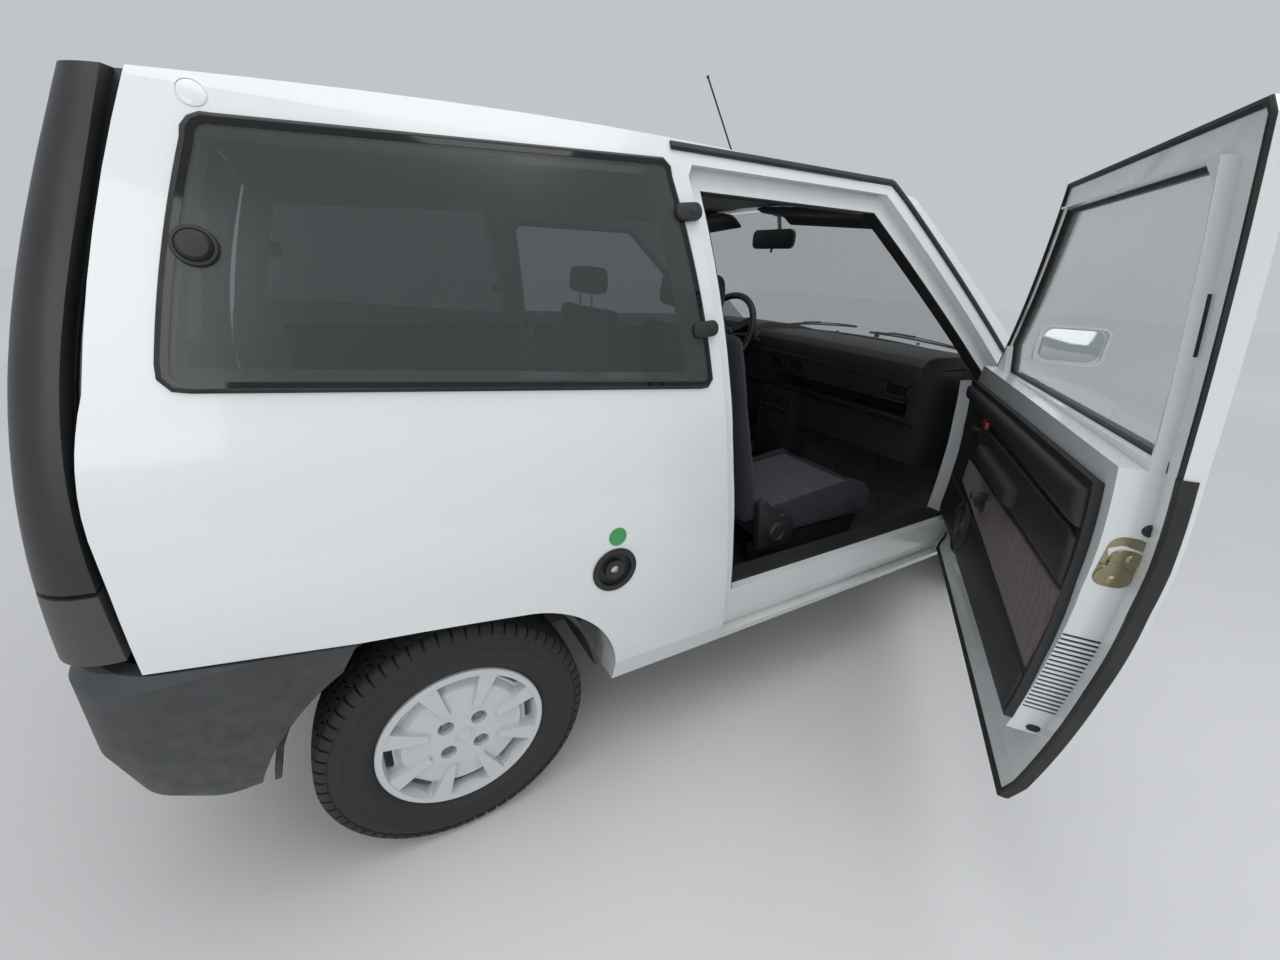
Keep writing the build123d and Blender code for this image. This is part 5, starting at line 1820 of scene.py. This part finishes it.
@dataclass(frozen=True)
class Pad:
    """One stuffed piece, before it swells.

    Attributes:
        name: The piece's name.
        line: Its outline on the side view.
        half: Half its width, in millimetres.
        origin: Where its lie is measured from: along the car, and height.
        lie: Direction of its length on the side view.
        panel: Woven middle: from and to along the length, and half its width.
        welt: Distance of the welt seam from the side, or 0.
        bolster: How far the sides rise over the middle.
        rounding: Radius of the side edges.
        voxel: Size of the remesh.
        cap: Greatest swelling of a point.
        fill: How tight the stuffing is, from 0 to 1; not used.
    """

    name: str
    line: Outline
    half: float
    origin: Point
    lie: Point
    panel: tuple[float, float, float]
    welt: float = 22.0
    bolster: float = 12.0
    rounding: float = 30.0
    voxel: float = 9.0
    cap: float = 12.0
    fill: float = 0.7

    def local(self, point: Vector) -> tuple[float, float, float]:
        """Place of a point along the pad's length, across it, and out of its face."""
        reach = point - Vector((self.origin[0], 0, self.origin[1]))
        return reach.dot(self.run()), point.y, reach.dot(self.out())

    def run(self) -> Vector:
        """Direction of the pad's length."""
        return Vector((self.lie[0], 0, self.lie[1])).normalized()

    def out(self) -> Vector:
        """Direction out of the pad's face."""
        run = self.run()
        return Vector((-run.z, 0, run.x))

    def start(self) -> Form:
        """The unswollen shape, with rounded side edges.

        Returns:
            The form.
        """
        rings = []
        steps = 6
        turns = [math.pi / 2 * k / steps for k in range(steps + 1)]
        spots = [(-self.half + self.rounding * (1 - math.sin(t)),
                  -self.rounding * (1 - math.cos(t)) * 0.8) for t in turns[::-1]]
        flat = self.half - self.rounding
        spots += [(-flat + 2 * flat * k / 24, 0.0) for k in range(1, 24)]
        spots += [(-y, m) for y, m in spots[:steps + 1][::-1]]
        for y, margin in spots:
            ring = []
            for u, v in self.line.points(26.0, margin - 9):
                point = Vector((u, y, v))
                share = min(1, max(0, (self.local(point)[2] + 20) / 40))
                rise = self.bolster * self.smooth(abs(y), self.panel[2] - 25, self.panel[2] + 45)
                ring.append(point + self.out() * share * (rise - self.bolster * 0.6))
            rings.append(ring)
        return Form().surface(rings, False)

    @staticmethod
    def smooth(value: float, low: float, high: float) -> float:
        """Smooth way from 0 at low to 1 at high."""
        share = min(1, max(0, (value - low) / (high - low)))
        return share * share * (3 - 2 * share)

    def sewn(self, mesh: bpy.types.Mesh) -> None:
        """Draws in the seams, and marks the woven faces.

        Args:
            mesh: The swollen cushion, in millimetres.
        """
        low, high, half = self.panel
        middle, reach = (low + high) / 2, (high - low) / 2
        normals = [vertex.normal.copy() for vertex in mesh.vertices]
        for vertex, normal in zip(mesh.vertices, normals):
            along, across, out = self.local(vertex.co)
            front = self.smooth(out, -18, 2)
            panel = max(abs(along - middle) - reach, abs(across) - half)
            edge = abs(across) - (self.half - self.welt)
            pull = 5.5 * math.exp(-((panel / 5.5) ** 2)) * front
            pull += 3.0 * math.exp(-((edge / 4.5) ** 2)) * front if self.welt else 0
            vertex.co -= normal * pull
        for face in mesh.polygons:
            along, across, out = self.local(face.center)
            inner = abs(along - middle) < reach and abs(across) < half
            woven = inner and out > -30 and face.normal.dot(self.out()) > 0.3
            face.material_index = int(woven)


@dataclass
class Upholstery:
    """Front seats and rear bench: swollen cushions with sewn seams on their frames.

    Attributes:
        place: Distance of each front seat's middle from the car's.
        half: Half the width of a front seat.
        bench_half: Half the width of the bench.
        pressure: Pressure in the cushions while they swell.
        frames: Frames for which they do.
        rail: Distance of a seat's rails from its middle.
        posts: Distance of the head rest's posts from it.
        cover: Distance of the recliner's covers from it.
    """

    place: float = 330.0
    half: float = 228.0
    bench_half: float = 446.0
    pressure: float = 4.0
    frames: int = 16
    rail: float = 200.0
    posts: float = 52.0
    cover: float = 233.0

    # A seat's outlines on the side view, and its bars: along, out of its middle, and up.
    CUSHION = Outline((
        (905, 408), (1395, 408), (1424, 512, 1432, 452), (1396, 528, 1416, 526), (1000, 486),
        (905, 486),
    ))
    BACK = Outline(((862, 470), (922, 486), (770, 1026), (702, 1014, 728, 1044), (822, 500)))
    HEAD = Outline((
        (694, 1070), (772, 1062), (776, 1150, 782, 1106), (738, 1168, 762, 1168),
        (704, 1152, 714, 1166),
    ))
    BENCH = Outline(
        ((196, 402), (582, 402), (598, 506, 606, 452), (572, 520, 590, 520), (206, 492))
    )
    REST = Outline(((150, 470), (226, 492), (66, 922), (-10, 918, 26, 938), (112, 500)))
    COVER = Outline((
        (1012, 404), (1020, 470), (960, 508, 1000, 502), (896, 566), (866, 552, 872, 566),
        (888, 404),
    ))
    COVER_STEPS = ((-12, 0), (6, 0), (11, 2), (13.5, 7))
    COVER_KNOB = ((0, 0), (0, 33), (8, 32), (13, 28), (14, 22), (10, 20), (10, 0))
    RAILS = (
        ((905, -14, 284.4), (1376, 14, 290)), ((905, -14, 290), (1376, -10, 312)),
        ((905, 10, 290), (1376, 14, 312)), ((925, -8, 296), (1366, 8, 330)),
    )
    SIDE_PLATE = ((902, -3, 322), (1352, -3, 322), (1380, -3, 412), (884, -3, 412))
    SLIDE_LEVER = (
        (1340, -120, 340), (1398, -116, 352), (1402, -60, 354), (1402, 60, 354),
        (1398, 116, 352), (1340, 120, 340),
    )

    def pads(self) -> list[Pad]:
        """The stuffed pieces, measured round their own middle.

        Returns:
            One pad for each cushion or back.
        """
        return [
            Pad("seat_cushion", self.CUSHION, self.half, (1180, 500), (1, 0.09), (-235, 178, 148)),
            Pad("seat_back", self.BACK, self.half, (846, 756), (152, -540), (-215, 232, 138)),
            Pad("head_rest", self.HEAD, 126, (778, 1112), (0.03, -1), (-90, 90, 300), welt=16,
                bolster=0, voxel=7, cap=9, rounding=34),
            Pad("bench_cushion", self.BENCH, self.bench_half, (400, 506), (1, 0.07),
                (-165, 150, 330), voxel=12, cap=14, rounding=40),
            Pad("bench_back", self.REST, self.bench_half, (146, 707), (160, -430),
                (-170, 180, 330), voxel=12, cap=14, rounding=40),
        ]

    def swollen(self, pad: Pad) -> bpy.types.Mesh:
        """Swells a pad with the cloth solver and draws its seams.

        Args:
            pad: The pad.

        Returns:
            Its mesh, in millimetres round the seat's own middle.
        """
        form = pad.start()
        bmesh.ops.recalc_face_normals(form.mesh, faces=form.mesh.faces)
        bmesh.ops.scale(form.mesh, vec=(MM, MM, MM), verts=form.mesh.verts)
        work = linked(pad.name, form.ended(pad.name))
        remesh = work.modifiers.new("remesh", "REMESH")
        remesh.mode, remesh.voxel_size = "VOXEL", pad.voxel * MM
        work.data = shaped(work)
        self.swell(work, pad.cap * MM)
        finer = work.modifiers.new("finer", "SUBSURF")
        finer.levels = finer.render_levels = 1
        work.data = shaped(work)
        made = work.data
        bpy.data.objects.remove(work)
        made.transform(Matrix.Scale(1 / MM, 4))
        pad.sewn(made)
        return made

    def swell(self, work: bpy.types.Object, cap: float) -> None:
        """Runs the cloth solver and keeps each point within the cap.

        Args:
            work: The cushion, which gets its new shape.
            cap: How far a point may move, in metres.
        """
        rest = [v.co.copy() for v in work.data.vertices]
        scene, cloth = bpy.context.scene, work.modifiers.new("swell", "CLOTH")
        cloth.settings.use_pressure = True
        cloth.settings.uniform_pressure_force = self.pressure
        cloth.settings.effector_weights.gravity = 0
        cloth.settings.quality = 3
        cloth.point_cache.frame_start, cloth.point_cache.frame_end = 1, self.frames
        for number in range(1, self.frames + 1):
            scene.frame_set(number)
        work.data = shaped(work)
        scene.frame_set(1)
        for vertex, place in zip(work.data.vertices, rest):
            move = vertex.co - place
            if move.length > cap:
                vertex.co = place + move.normalized() * cap

    def stuff(self) -> None:
        """Makes every cushion, and copies the front ones to both seats."""
        for pad in self.pads():
            mesh = self.swollen(pad)
            front = not pad.name.startswith("bench")
            for hand in Hand if front else (Hand.LEFT,):
                name = f"{pad.name}_{hand.side}" if front else pad.name
                node = f"seat_{hand.side}" if front else "rear_bench"
                copy = mesh.copy()
                shift = Vector((0, hand * self.place if front else 0, 0))
                copy.transform(body_place() @ Matrix.Translation(shift))
                cloths = (SEAT_CLOTH, SEAT_CLOTH if pad.name == "head_rest" else SEAT_WEAVE)
                indices = [face.material_index for face in copy.polygons]
                piece = finished(name, copy, cloths, "chassis", 60)
                for face, index in zip(piece.data.polygons, indices):
                    face.material_index = index
                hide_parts(node)

    def frame_parts(self, hand: Hand) -> None:
        """Rails, side plates, head rest posts and recliner covers of one front seat.

        Args:
            hand: The seat's side of the car.
        """
        middle = ACROSS * self.place
        form, posts, cover = Form(), Form(), Form()
        for side in (-1, 1):
            y = self.place + side * self.rail
            for (x0, y0, z0), (x1, y1, z1) in self.RAILS:
                form.block((x0, y + y0, z0), (x1, y + y1, z1))
            face = [Vector(spot) + ACROSS * y for spot in self.SIDE_PLATE]
            form.slab(face, ACROSS * 5)
            y = self.place + side * self.posts
            posts.tube([Vector((733, y, 1000)), Vector((733, y, 1090))], 5, sides=12)
            y = self.place + side * self.cover
            cover.surface([
                [Vector((u, y + side * out, v)) for u, v in self.COVER.points(16, -margin)]
                for out, margin in self.COVER_STEPS
            ], False)
            cover.lathe(Vector((944, y + side * 13, 462)), ACROSS * side, self.COVER_KNOB, 32)
        for x in (960, 1320):
            ends = [middle + Vector((x, side * self.rail, 352)) for side in (-1, 1)]
            form.tube(ends, 9, sides=12)
        form.tube([middle + Vector(spot) for spot in self.SLIDE_LEVER], 5.5, sides=10)
        form.on_side("seat_frame", FRAME_BLACK, hand, bevel=1.0)
        posts.on_side("head_rest_posts", CHROME, hand)
        cover.on_side("recliner_covers", TRIM, hand, bevel=0.8, sharp=30)

    def bench_parts(self) -> None:
        """The bench's pan and hinges."""
        form = Form()
        form.block((150, -436, 394.5), (584, 436, 400))
        for y in (-300, 0, 300):
            form.block((560, y - 30, 394.5), (592, y + 30, 412))
        form.block((96, -430, 395), (112, 430, 500))
        form.piece("bench_pan", FRAME_BLACK, bevel=1.5)

    def build(self) -> None:
        """Makes the seats and the bench."""
        self.stuff()
        for hand in Hand:
            self.frame_parts(hand)
        self.bench_parts()


@dataclass
class Cockpit:
    """Dash top, vents, cluster, stalks, wheel pad, mirror, visors and carpets.

    Attributes:
        wide: Half the width of the dash, in millimetres.
        driver: Distance of the driver's middle from the car's.
        hood: Half the width of the hood over the dials.
        rake: Lean of the steering wheel, in degrees.
        rim: Radius of the steering wheel.
        dial: Height of the dials' middles.
        face: Place of the dash's face along the car.
        vent: Height of the outlets' middles.
    """

    wide: float = 585.0
    driver: float = 330.0
    hood: float = 152.0
    rake: float = 25.0
    rim: float = 186.0
    dial: float = 895.0
    face: float = 1460.5
    vent: float = 838.0

    # Sections of the dash's pad, plain and under the hood: along and up.
    PLAIN = (
        (1462, 866), (1457, 884), (1463, 922), (1484, 943), (1530, 950), (1700, 946),
        (1862, 932), (1876, 918), (1868, 906), (1600, 904), (1500, 900), (1478, 880),
    )
    RAISED = (
        (1486, 930), (1447, 930), (1444, 946), (1462, 964), (1530, 973), (1690, 962),
        (1862, 932), (1876, 918), (1868, 906), (1646, 904), (1644, 936), (1600, 944),
    )
    VENTS = (-516, -70, 40, 540)
    VENT_FRAME = ((-46, -38, -24, 24), (38, 46, -24, 24), (-46, 46, 17, 24), (-46, 46, -24, -17))
    # The dials: distance from the driver's middle, and radius.
    DIALS = ((58, 27), (-12, 27), (-78, 22))
    KNOB = ((0, 0), (0, 9), (9, 8), (10, 6.5), (10, 0))
    CENTRE = (
        ((1453, -62, 676), (1456, 62, 690)), ((1444.5, -64, 560), (1449, 64, 586)),
        ((1444.5, -64, 596), (1449, 64, 622)), ((1458, -556, 752.5), (1462, 64, 757)),
        ((1458, -556, 801), (1462, 64, 805.5)),
    )
    SPOKES = (8, 172, 262, 278)
    STALK_TIP = ((0, 0), (0, 8), (22, 9), (25, 6), (26, 0))
    COLUMN = ((-30, 44), (-30, 50), (40, 52), (52, 46), (52, 36))
    MIRROR_PLACE = (1322, 0, 1284)
    MIRROR_STEPS = ((-11, 1.0), (-9, 1.03), (4, 1.0), (13, 0.86), (17, 0.5))
    GLASS_STEPS = ((-11.5, 1.0), (-12.2, 1.0), (-12.8, 0.98))
    MIRROR_FOOT = ((-2, 0), (-2, 20), (6, 24), (10, 24), (10, 0))
    TUNNEL = ((-108, 285), (-108, 372), (-100, 379.5), (100, 379.5), (108, 372), (108, 285))

    def dash_pad(self) -> None:
        """The padded top of the dash, with the hood over the dials."""
        low, high = self.driver - self.hood, self.driver + self.hood
        spots = [(-self.wide + (low - 6 + self.wide) * k / 16, self.PLAIN) for k in range(17)]
        spots += [(y, self.RAISED) for y in (low + 2, low + 20, self.driver, high - 20, high - 2)]
        spots += [(high + 6 + (self.wide - high - 6) * k / 4, self.PLAIN) for k in range(5)]
        rings = []
        for y, shape in spots:
            bulge = 5 * math.cos(math.pi / 2 * y / self.wide)
            rings.append([
                Vector((u + 4 - 4 * abs(y) / self.wide, y, v + (bulge if v > 915 else 0)))
                for u, v in shape
            ])
        Form().surface(rings, False).piece("dash_pad", DASH_SKIN, bevel=6.0, sharp=50)

    def vents(self) -> None:
        """Frames and blades in the dash's four outlets."""
        form, row, blades = Form(), Repeat("vent_row"), []
        for y in self.VENTS:
            for y0, y1, z0, z1 in self.VENT_FRAME:
                low = (self.face, y + y0, self.vent + z0)
                form.block(low, (self.face + 14, y + y1, self.vent + z1))
            unit = Form().block((-9, -38, -1.1), (9, 38, 1.1))
            blades.append(row.run(unit, TRIM, 5, Vector((1474, y, self.vent - 14)), UP * 7))
            for across in range(y - 27, y + 28, 18):
                low = (1476, across - 0.9, self.vent - 18)
                form.block(low, (1482.5, across + 0.9, self.vent + 18))
        for mesh in blades:
            form.repeated(mesh)
        form.piece("dash_vents", TRIM, bevel=0.5, sharp=30)

    def cluster(self) -> None:
        """Dials in the hood, with their needles and ticks."""
        middle, form, row = self.driver, Form(), Repeat("tick_ring")
        form.block((1476, middle - 134, 864), (1481.5, middle + 134, 926), 1)
        for y, radius in self.DIALS:
            rim = ((0, radius), (0, radius + 3.5), (5, radius + 2.6), (5, radius + 0.6))
            form.lathe(Vector((1476, middle + y, self.dial)), BACKWARD, rim, 40)
            foot = Vector((1474.6, middle + y, self.dial))
            tip = foot + Vector((-0.2, radius * 0.5, radius * 0.6))
            form.tube([foot, tip], 0.9, sides=6, tone=3)
        for y, radius in self.DIALS:
            unit = Form().block((-0.3, -0.5, radius - 7), (0.3, 0.5, radius - 3))
            mesh = row.run(unit, DIAL_WHITE, 19, turn=FORWARD * math.radians(13.5))
            start = Matrix.Rotation(math.radians(-122), 4, "X")
            mesh.transform(Matrix.Translation((1475.5, middle + y, self.dial)) @ start)
            before = len(form.mesh.faces)
            form.repeated(mesh).mesh.faces.ensure_lookup_table()
            for face in form.mesh.faces[before:]:
                face.material_index = 2
        form.piece("dials", (TRIM, GRILLE, DIAL_WHITE, REFLECTOR), sharp=30)

    def centre(self) -> None:
        """The panel of switches and the slots under the middle of the dash."""
        panel = Form().block((1455, -75, 641), (1461, 75, 699))
        for y in (-48, -16, 16, 48):
            panel.lathe(Vector((1455, y, 656)), BACKWARD, self.KNOB, 20)
        for low, high in self.CENTRE:
            panel.block(low, high)
        panel.piece("centre_panel", TRIM, bevel=0.8, sharp=30)

    def wheel(self) -> None:
        """The soft pad and spokes of the steering wheel, and the stalks behind it."""
        rake = math.radians(self.rake)
        out = Vector((-math.cos(rake), 0, math.sin(rake)))
        up = Vector((math.sin(rake), 0, math.cos(rake)))
        hub = Vector((1385, self.driver, 905))

        def way(turn: float) -> Vector:
            """The direction at an angle in the wheel's plane."""
            return ACROSS * math.cos(turn) + up * math.sin(turn)

        form = Form().stack(
            rounded(178, 104, 30, 6), ((2, 1.0), (12, 1.0), (18, 0.94), (21, 0.8)),
            lambda u, v, high: hub + out * high + ACROSS * u + up * (v - 14),
        )
        form.tube([hub + way(math.tau * k / 72) * self.rim for k in range(72)], 14.2, True, 14)
        for spoke in self.SPOKES:
            aim = way(math.radians(spoke))
            form.tube([hub + aim * 60 + out * 6, hub + aim * 120 + out * 3, hub + aim * 182], 9,
                      sides=10)
        form.piece("wheel_cover", GRIP, "steering_wheel_body", sharp=40)
        stalks = Form()
        base = hub - out * 62
        for way_out, lift in ((1, 8), (-1, 8), (1, -14)):
            aim = (ACROSS * way_out + up * 0.1).normalized()
            stalks.tube(
                [base + aim * 24 + up * lift, base + aim * 120 + up * lift - out * 2,
                 base + aim * 168 + up * (lift + 4)], 5, sides=10,
            )
            stalks.lathe(base + aim * 160 + up * (lift + 3.4), aim, self.STALK_TIP, 18)
        stalks.lathe(base - out * 10, -out, self.COLUMN, 32)
        stalks.piece("column_stalks", TRIM, sharp=35)

    def mirror(self) -> None:
        """The mirror under the roof."""
        mid = Vector(self.MIRROR_PLACE)

        def spot(u: float, v: float, x: float) -> Vector:
            """A point of the mirror."""
            return mid + Vector((x, u, v))

        form = Form().stack(rounded(202, 62, 22, 6), self.MIRROR_STEPS, spot)
        form.stack(rounded(190, 52, 18, 6), self.GLASS_STEPS, spot, 1)
        form.tube([spot(0, 6, 12), spot(0, 40, 20), spot(0, 82, 8)], 7, sides=12)
        form.lathe(spot(0, 78, 8), Vector((0.1, 0, 1)), self.MIRROR_FOOT, 24)
        form.tube([spot(0, -30, -4), spot(0, -44, -8)], 4, sides=10)
        form.piece("cabin_mirror", (TRIM, SILVERED), sharp=35)

    def visors(self) -> None:
        """The two visors, laid under the roof's lining."""
        roof = Skin(("headlining", "windscreen", "roof_panel"))
        for hand in Hand:
            rings = []
            for k in range(11):
                x, thick = 1118 + 15 * k, 9.0 if 0 < k < 10 else 4.0
                ring = []
                for u, v in rounded(330, thick * 2, min(thick * 0.9, 8), 3):
                    found = roof.met(car.at(x, 290 + u, 900), UP)[0]
                    ring.append(Vector((x, 290 + u, (found.z - car.origin.z) / MM - 15 + v)))
                rings.append(ring)
            piece = Form().surface(rings, False).on_side("visor", VINYL, hand, sharp=80)

    def carpets(self) -> None:
        """Moulded carpet on the floor, over the tunnel and in the boot."""
        along = [640 + (1690 - 640) * k / 30 for k in range(31)]
        row = [112 + (560 - 112) * j / 16 for j in range(17)]
        for hand in Hand:
            form = self.laid(along, row, 284.3, lambda x, y: (
                290.5 + 1.6 * math.sin(x * 0.021 + y * 0.013) + 1.2 * math.sin(y * 0.034 - x * 0.01)
            ))
            form.on_side("carpet", CARPET, hand, sharp=50)
        along = [640 + (1440 - 640) * k / 30 for k in range(31)]
        near = [[Vector((x, y, z)) for y, z in self.TUNNEL] for x in along]
        far = [[Vector((x, y * 0.975, z - 2.8)) for y, z in self.TUNNEL] for x in along]
        Form().skin(near, far).piece("carpet_tunnel", CARPET, sharp=50)
        along = [-418 + (130 + 418) * k / 16 for k in range(17)]
        form = self.laid(
            along, (-430, -280, -140, 0, 140, 280, 430), 394.4,
            lambda x, y: 397.5 + 0.8 * math.sin(x * 0.03 + y * 0.02),
        )
        form.piece("carpet_boot", CARPET, sharp=50)

    @staticmethod
    def laid(
        along: Sequence[float], row: Sequence[float], foot: float,
        top: Callable[[float, float], float],
    ) -> Form:
        """A flat carpet.

        Args:
            along: Places of its points along the car.
            row: Their places across it.
            foot: Height of its back.
            top: Gives the height of its face at a place.

        Returns:
            The form.
        """
        near = [[Vector((x, y, top(x, y))) for y in row] for x in along]
        far = [[Vector((x, y, foot)) for y in row] for x in along]
        return Form().skin(near, far)

    def build(self) -> None:
        """Makes the cabin's pieces."""
        for step in (self.dash_pad, self.vents, self.cluster, self.centre, self.wheel,
                     self.mirror, self.visors, self.carpets):
            step()


@dataclass
class Ends:
    """Plates, tailgate handle, wipers and washer jets.

    Attributes:
        plate_rear: Half width and half height of the rear plate, in millimetres.
        plate_front: Half width and half height of the front plate.
        blade: Length of a wiper blade.
        grip: Height of the tailgate's grip.
    """

    plate_rear: Point = (238.0, 52.0)
    plate_front: Point = (178.0, 52.0)
    blade: float = 430.0
    grip: float = 856.0

    # Steps of a plate and of the grip: how far out, or along the car, and growth.
    PLATE_STEPS = ((0.2, 0), (1.6, 0), (3.0, -1.5), (3.0, -4.0), (1.9, -5.5))
    GRIP_STEPS = ((-468.2, 0), (-473, 0), (-476, -2), (-476, -5), (-471.5, -7))
    GRIP_BAR = ((-474, -58, -6), (-478, -50, -5), (-478, 18, -5), (-474, 26, -6))
    SCREW = ((0, 0), (0, 4.6), (2.0, 4.4), (3.0, 2.6), (3.2, 0))
    LOCK = ((0, 0), (0, 8), (6, 7.6), (7, 6.4), (6.2, 5), (6.2, 0))
    SPINDLE = ((-4, 0), (-4, 11), (12, 10), (20, 8), (24, 6), (25, 0))
    BLADE = (
        (-3.6, -0.8), (0, -2.6), (2.4, -2.6), (3.4, -1), (3.4, 1), (2.4, 2.6), (0, 2.6),
        (-3.6, 0.8),
    )
    JET = ((-1, 0), (-1, 8), (3, 7), (7, 4.5), (8, 0))

    def plates(self) -> None:
        """The two blank plates with their pressed rims, each on the panel behind it."""
        for name, body, nodes, z, way, (half, high) in (
            ("plate_rear", "tailgate_body", ("tailgate",), 753, -1, self.plate_rear),
            ("plate_front", "chassis", ("bumper_front", "grille", "front_frame"), 490, 1,
             self.plate_front),
        ):
            x = (Skin(nodes).end(0, z, way)[0].x - car.origin.x) / MM
            form = Form().surface([
                [Vector((x + way * out, u, z + v))
                 for u, v in rounded(2 * (half + grow), 2 * (high + grow), 9)]
                for out, grow in self.PLATE_STEPS
            ], False)
            for y in (-half * 0.62, half * 0.62):
                spot = Vector((x + way * 1.6, y, z + high * 0.62))
                form.lathe(spot, FORWARD * way, self.SCREW, 16, 1)
            form.piece(name, (PLATE, ZINC), body, sharp=25)

    def handle(self) -> None:
        """The grip and lock in the tailgate's hollow."""
        form = Form().surface([
            [Vector((x, u, self.grip + v))
             for u, v in rounded(2 * (73 + grow), 2 * (15.5 + grow), 7)]
            for x, grow in self.GRIP_STEPS
        ], False)
        form.lathe(Vector((-471, 40, self.grip)), BACKWARD, self.LOCK, 24, 1)
        form.tube([Vector((x, y, self.grip + z)) for x, y, z in self.GRIP_BAR], 4.2, sides=10)
        form.piece("tailgate_grip", (TRIM, CHROME), "tailgate_body", sharp=35)

    def wipers(self) -> None:
        """Two arms and blades that rest low on the windscreen, and their spindles."""
        skin, cowl = Skin(("windscreen",)), Skin(("cowl_panel", "bonnet"))
        rise = Vector((0.5, 0, 0.85))

        def on_glass(x: float, y: float, up: float) -> Vector:
            """A point over the windscreen, in the car's millimetres."""
            found, normal = skin.above(x, y)
            return (found - car.origin) / MM + normal * up

        form = Form()
        for pivot in (-60, 420):
            height = (cowl.above(1936, pivot)[0].z - car.origin.z) / MM
            spindle = Vector((1936, pivot, height))
            form.lathe(spindle, Vector((0.2, 0, 1)), self.SPINDLE, 20)
            tip = pivot - self.blade * 0.52
            form.tube(
                [spindle + Vector((3, 0, 17)), on_glass(1894, pivot - 60, 22),
                 on_glass(1872, (pivot + tip) / 2, 19), on_glass(1856, tip, 13)], 4.4, sides=8,
            )
            path = []
            for k in range(13):
                y = tip + self.blade * (0.5 - k / 12)
                path.append(on_glass(1872 - 26 * (k / 12), max(-545, min(545, y)), 4.5))
            form.sweep(path, self.BLADE, rise, tone=1)
            bridge = [spot + rise * (3.5 + 5.5 * math.sin(math.pi * k / 12))
                      for k, spot in enumerate(path)]
            form.tube(bridge, 2.4, sides=6)
        form.piece("wipers", (TRIM, SEAL), sharp=40)

    def jets(self) -> None:
        """The two washer jets on the bonnet."""
        bonnet, form = Skin(("bonnet",)), Form()
        for y in (-210, 210):
            found = (bonnet.above(2010, y)[0] - car.origin) / MM
            form.lathe(found, UP, self.JET, 18)
        form.piece("washer_jets", TRIM, "bonnet_body", sharp=35)

    def build(self) -> None:
        """Makes both ends."""
        for step in (self.plates, self.handle, self.wipers, self.jets):
            step()


def main() -> None:
    """Builds the studio and every sub-assembly, in order."""
    logging.basicConfig(level=logging.INFO, format="%(name)s %(message)s")
    sides = [kind(hand) for kind in (Glazing, SideTrim, DoorDetail) for hand in Hand]
    for part in (Studio(), Tyres(), *sides, Upholstery(), Cockpit(), Ends(), Wardrobe()):
        part.build()
        log.info("built %s", type(part).__name__)


if __name__ == "__main__":
    main()
